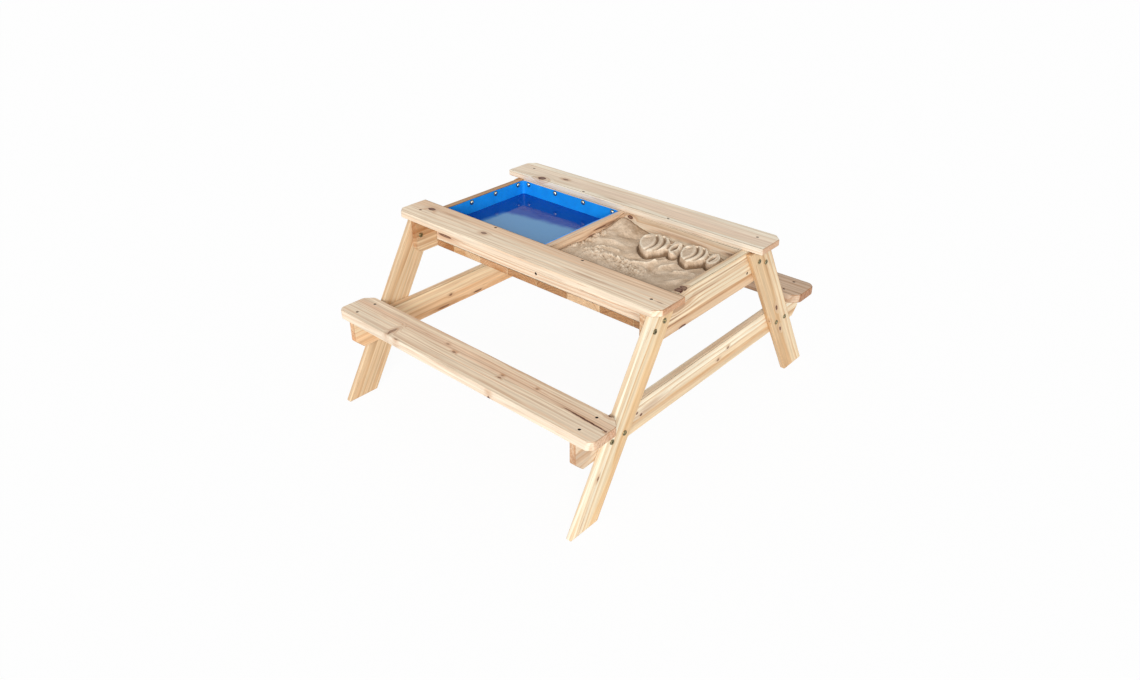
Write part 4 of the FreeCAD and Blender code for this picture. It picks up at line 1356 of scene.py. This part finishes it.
def studio_floor():
    """Pale matt floor that shows white to the camera and keeps the table's shadow."""
    mesh = bmesh.new()
    bmesh.ops.create_grid(mesh, x_segments=1, y_segments=1, size=30.0)
    material, add = new_material("Studio_Floor_White")
    whiteness = 0.94            # share of plain white in what the camera sees of the floor
    seen = add("LightPath").outputs["Is Camera Ray"]
    seen = add("Math", seen, whiteness, operation="MULTIPLY")
    shadowed = add("BsdfDiffuse", {"Color": settings().stage.floor})
    glow = add("Emission", {"Color": (1, 1, 1, 1), "Strength": 1.0})
    add("OutputMaterial", {"Surface": add("MixShader", seen, shadowed, glow)})
    to_object("Studio_Floor", mesh, [material])


def studio_world():
    """Even white surroundings: full white where seen or mirrored, dimmer where they light."""
    world = bpy.data.worlds.new("Studio_White")
    bpy.context.scene.world = world
    world.use_nodes = True
    world.node_tree.nodes.clear()
    add = partial(add_node, world.node_tree)
    path = add("LightPath").outputs
    direct = add("Math", path["Is Camera Ray"], path["Is Glossy Ray"], operation="MAXIMUM")
    direct = add("Math", direct, path["Is Transmission Ray"], operation="MAXIMUM")
    strength = add("MapRange", {0: direct, 3: settings().stage.fill, 4: 1.0})
    add("OutputWorld", {"Surface": add("Background", {"Strength": strength})})


def link_to_scene(name, data, place, turn):
    """Lamp or camera, standing in the scene."""
    thing = bpy.data.objects.new(name, data)
    thing.location, thing.rotation_euler = place, turn
    bpy.context.scene.collection.objects.link(thing)
    return thing


def build_stage():
    """Floor, soft key light, even surroundings and the camera."""
    stage, scene = settings().stage, bpy.context.scene
    studio_floor()
    studio_world()
    lamp = bpy.data.lights.new("Key_Softbox", "SUN")
    lamp.energy, lamp.angle = stage.key, stage.key_spread
    link_to_scene("Key_Softbox", lamp, (0, 0, 0), stage.key_turn)
    lens = bpy.data.cameras.new("Camera")
    lens.lens, lens.shift_x, lens.shift_y = stage.lens, stage.shift_x, stage.shift_y
    lens.clip_end = 200.0
    scene.camera = link_to_scene("Camera", lens, stage.camera_place, stage.camera_turn)
    scene.view_settings.view_transform = "Standard"


# ---- Operators, panel and registration -----------------------------------------------------


class MakeTopPlanks(bpy.types.Operator):
    """Make the two top planks"""
    bl_idname = "play_table.top_planks"
    bl_label = "Top planks"

    def execute(self, context):
        build_boards(planks())
        return {"FINISHED"}


class MakeSeatPlanks(bpy.types.Operator):
    """Make the two bench seats"""
    bl_idname = "play_table.seat_planks"
    bl_label = "Bench seats"

    def execute(self, context):
        build_boards(seats())
        return {"FINISHED"}


class MakeTrayBoards(bpy.types.Operator):
    """Make the tray's sides, ends and divider"""
    bl_idname = "play_table.tray_boards"
    bl_label = "Tray boards"

    def execute(self, context):
        build_boards(tray_sides() + tray_ends())
        return {"FINISHED"}


class MakeFloorBoards(bpy.types.Operator):
    """Make the tray's floor boards"""
    bl_idname = "play_table.floor_boards"
    bl_label = "Floor boards"

    def execute(self, context):
        build_boards(floor_boards())
        return {"FINISHED"}


class MakeBearers(bpy.types.Operator):
    """Make the two seat bearers"""
    bl_idname = "play_table.bearers"
    bl_label = "Seat bearers"

    def execute(self, context):
        build_boards(bearers())
        return {"FINISHED"}


class MakeLegs(bpy.types.Operator):
    """Make the four splayed legs"""
    bl_idname = "play_table.legs"
    bl_label = "Legs"

    def execute(self, context):
        build_boards(legs())
        return {"FINISHED"}


class MakeScrews(bpy.types.Operator):
    """Make every countersunk wood screw"""
    bl_idname = "play_table.screws"
    bl_label = "Wood screws"

    def execute(self, context):
        rng = random.Random(11)
        finish = bronzed_and_shaded_steel()
        long_screw, floor_screw = screw_pattern(LONG_SCREW), screw_pattern(FLOOR_SCREW)
        for node in LONG_SCREW_NODES:
            set_fasteners(node, long_screw, finish, "screw_steel", rng)
        set_fasteners("floor_screws", floor_screw, finish, "screw_steel", rng)
        return {"FINISHED"}


class MakeLegFasteners(bpy.types.Operator):
    """Make the leg bolts and their sleeve nuts"""
    bl_idname = "play_table.leg_fasteners"
    bl_label = "Leg bolts and nuts"

    def execute(self, context):
        rng = random.Random(12)
        finish = zinc_steel()
        bolt, sleeve = bolt_pattern(), sleeve_pattern()
        for level in ("upper", "lower"):
            set_fasteners(level + "_leg_bolts", bolt, finish, "bolt_steel", rng)
            set_fasteners(level + "_sleeve_nuts", sleeve, finish, "bolt_steel", rng)
        return {"FINISHED"}


class MakeStuds(bpy.types.Operator):
    """Make the liner's studs and rubber washers"""
    bl_idname = "play_table.studs"
    bl_label = "Liner studs"

    def execute(self, context):
        rng = random.Random(13)
        set_fasteners("liner_studs", stud_pattern(), brassed_stud(), "stud_brass", rng)
        set_fasteners("liner_washers", washer_pattern(), black_rubber(), "washer_rubber", rng,
                      beside="liner_studs")
        return {"FINISHED"}


class MakeLiner(bpy.types.Operator):
    """Make the welded vinyl liner"""
    bl_idname = "play_table.liner"
    bl_label = "Vinyl liner"

    def execute(self, context):
        piece = to_object("water_liner_sheet", liner_mesh(*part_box("water_liner")), [blue_vinyl()])
        finish_piece(piece, "liner_pvc", "water_liner")
        return {"FINISHED"}


class MakeWater(bpy.types.Operator):
    """Fill the liner with water"""
    bl_idname = "play_table.water"
    bl_label = "Water"

    def execute(self, context):
        piece = to_object("water_fill_pool", water_mesh(*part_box("water_fill")), [pool_water()])
        finish_piece(piece, "water", "water_fill")
        return {"FINISHED"}


class MakeSand(bpy.types.Operator):
    """Fill the other bay with sand and two fish castings"""
    bl_idname = "play_table.sand"
    bl_label = "Sand"

    def execute(self, context):
        piece = to_object("sand_fill_heap", sand_mesh(*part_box("sand_fill")), [damp_sand()])
        finish_piece(piece, "sand", "sand_fill")
        return {"FINISHED"}


class SetStage(bpy.types.Operator):
    """Set the floor, lights and camera"""
    bl_idname = "play_table.stage"
    bl_label = "Stage"

    def execute(self, context):
        build_stage()
        return {"FINISHED"}


OPERATORS = (MakeTopPlanks, MakeSeatPlanks, MakeTrayBoards, MakeFloorBoards, MakeBearers, MakeLegs,
             MakeScrews, MakeLegFasteners, MakeLiner, MakeStuds, MakeWater, MakeSand, SetStage)


class TablePanel(bpy.types.Panel):
    """Buttons for each part of the table"""
    bl_idname = "VIEW3D_PT_play_table"
    bl_label = "Sand and Water Table"
    bl_space_type = "VIEW_3D"
    bl_region_type = "UI"
    bl_category = "Play Table"

    def draw(self, context):
        for operator in OPERATORS:
            self.layout.operator(operator.bl_idname)


CLASSES = (TimberSettings, HardwareSettings, LinerSettings, WaterSettings, SandSettings,
           StageSettings, TableSettings) + OPERATORS + (TablePanel,)


def register():
    for kind in CLASSES:
        bpy.utils.register_class(kind)
    bpy.types.Scene.play_table = PointerProperty(type=TableSettings)


def unregister():
    del bpy.types.Scene.play_table
    for kind in reversed(CLASSES):
        bpy.utils.unregister_class(kind)


def main():
    register()
    for operator in OPERATORS:
        group, name = operator.bl_idname.split(".")
        getattr(getattr(bpy.ops, group), name)()


if __name__ == "__main__":
    main()
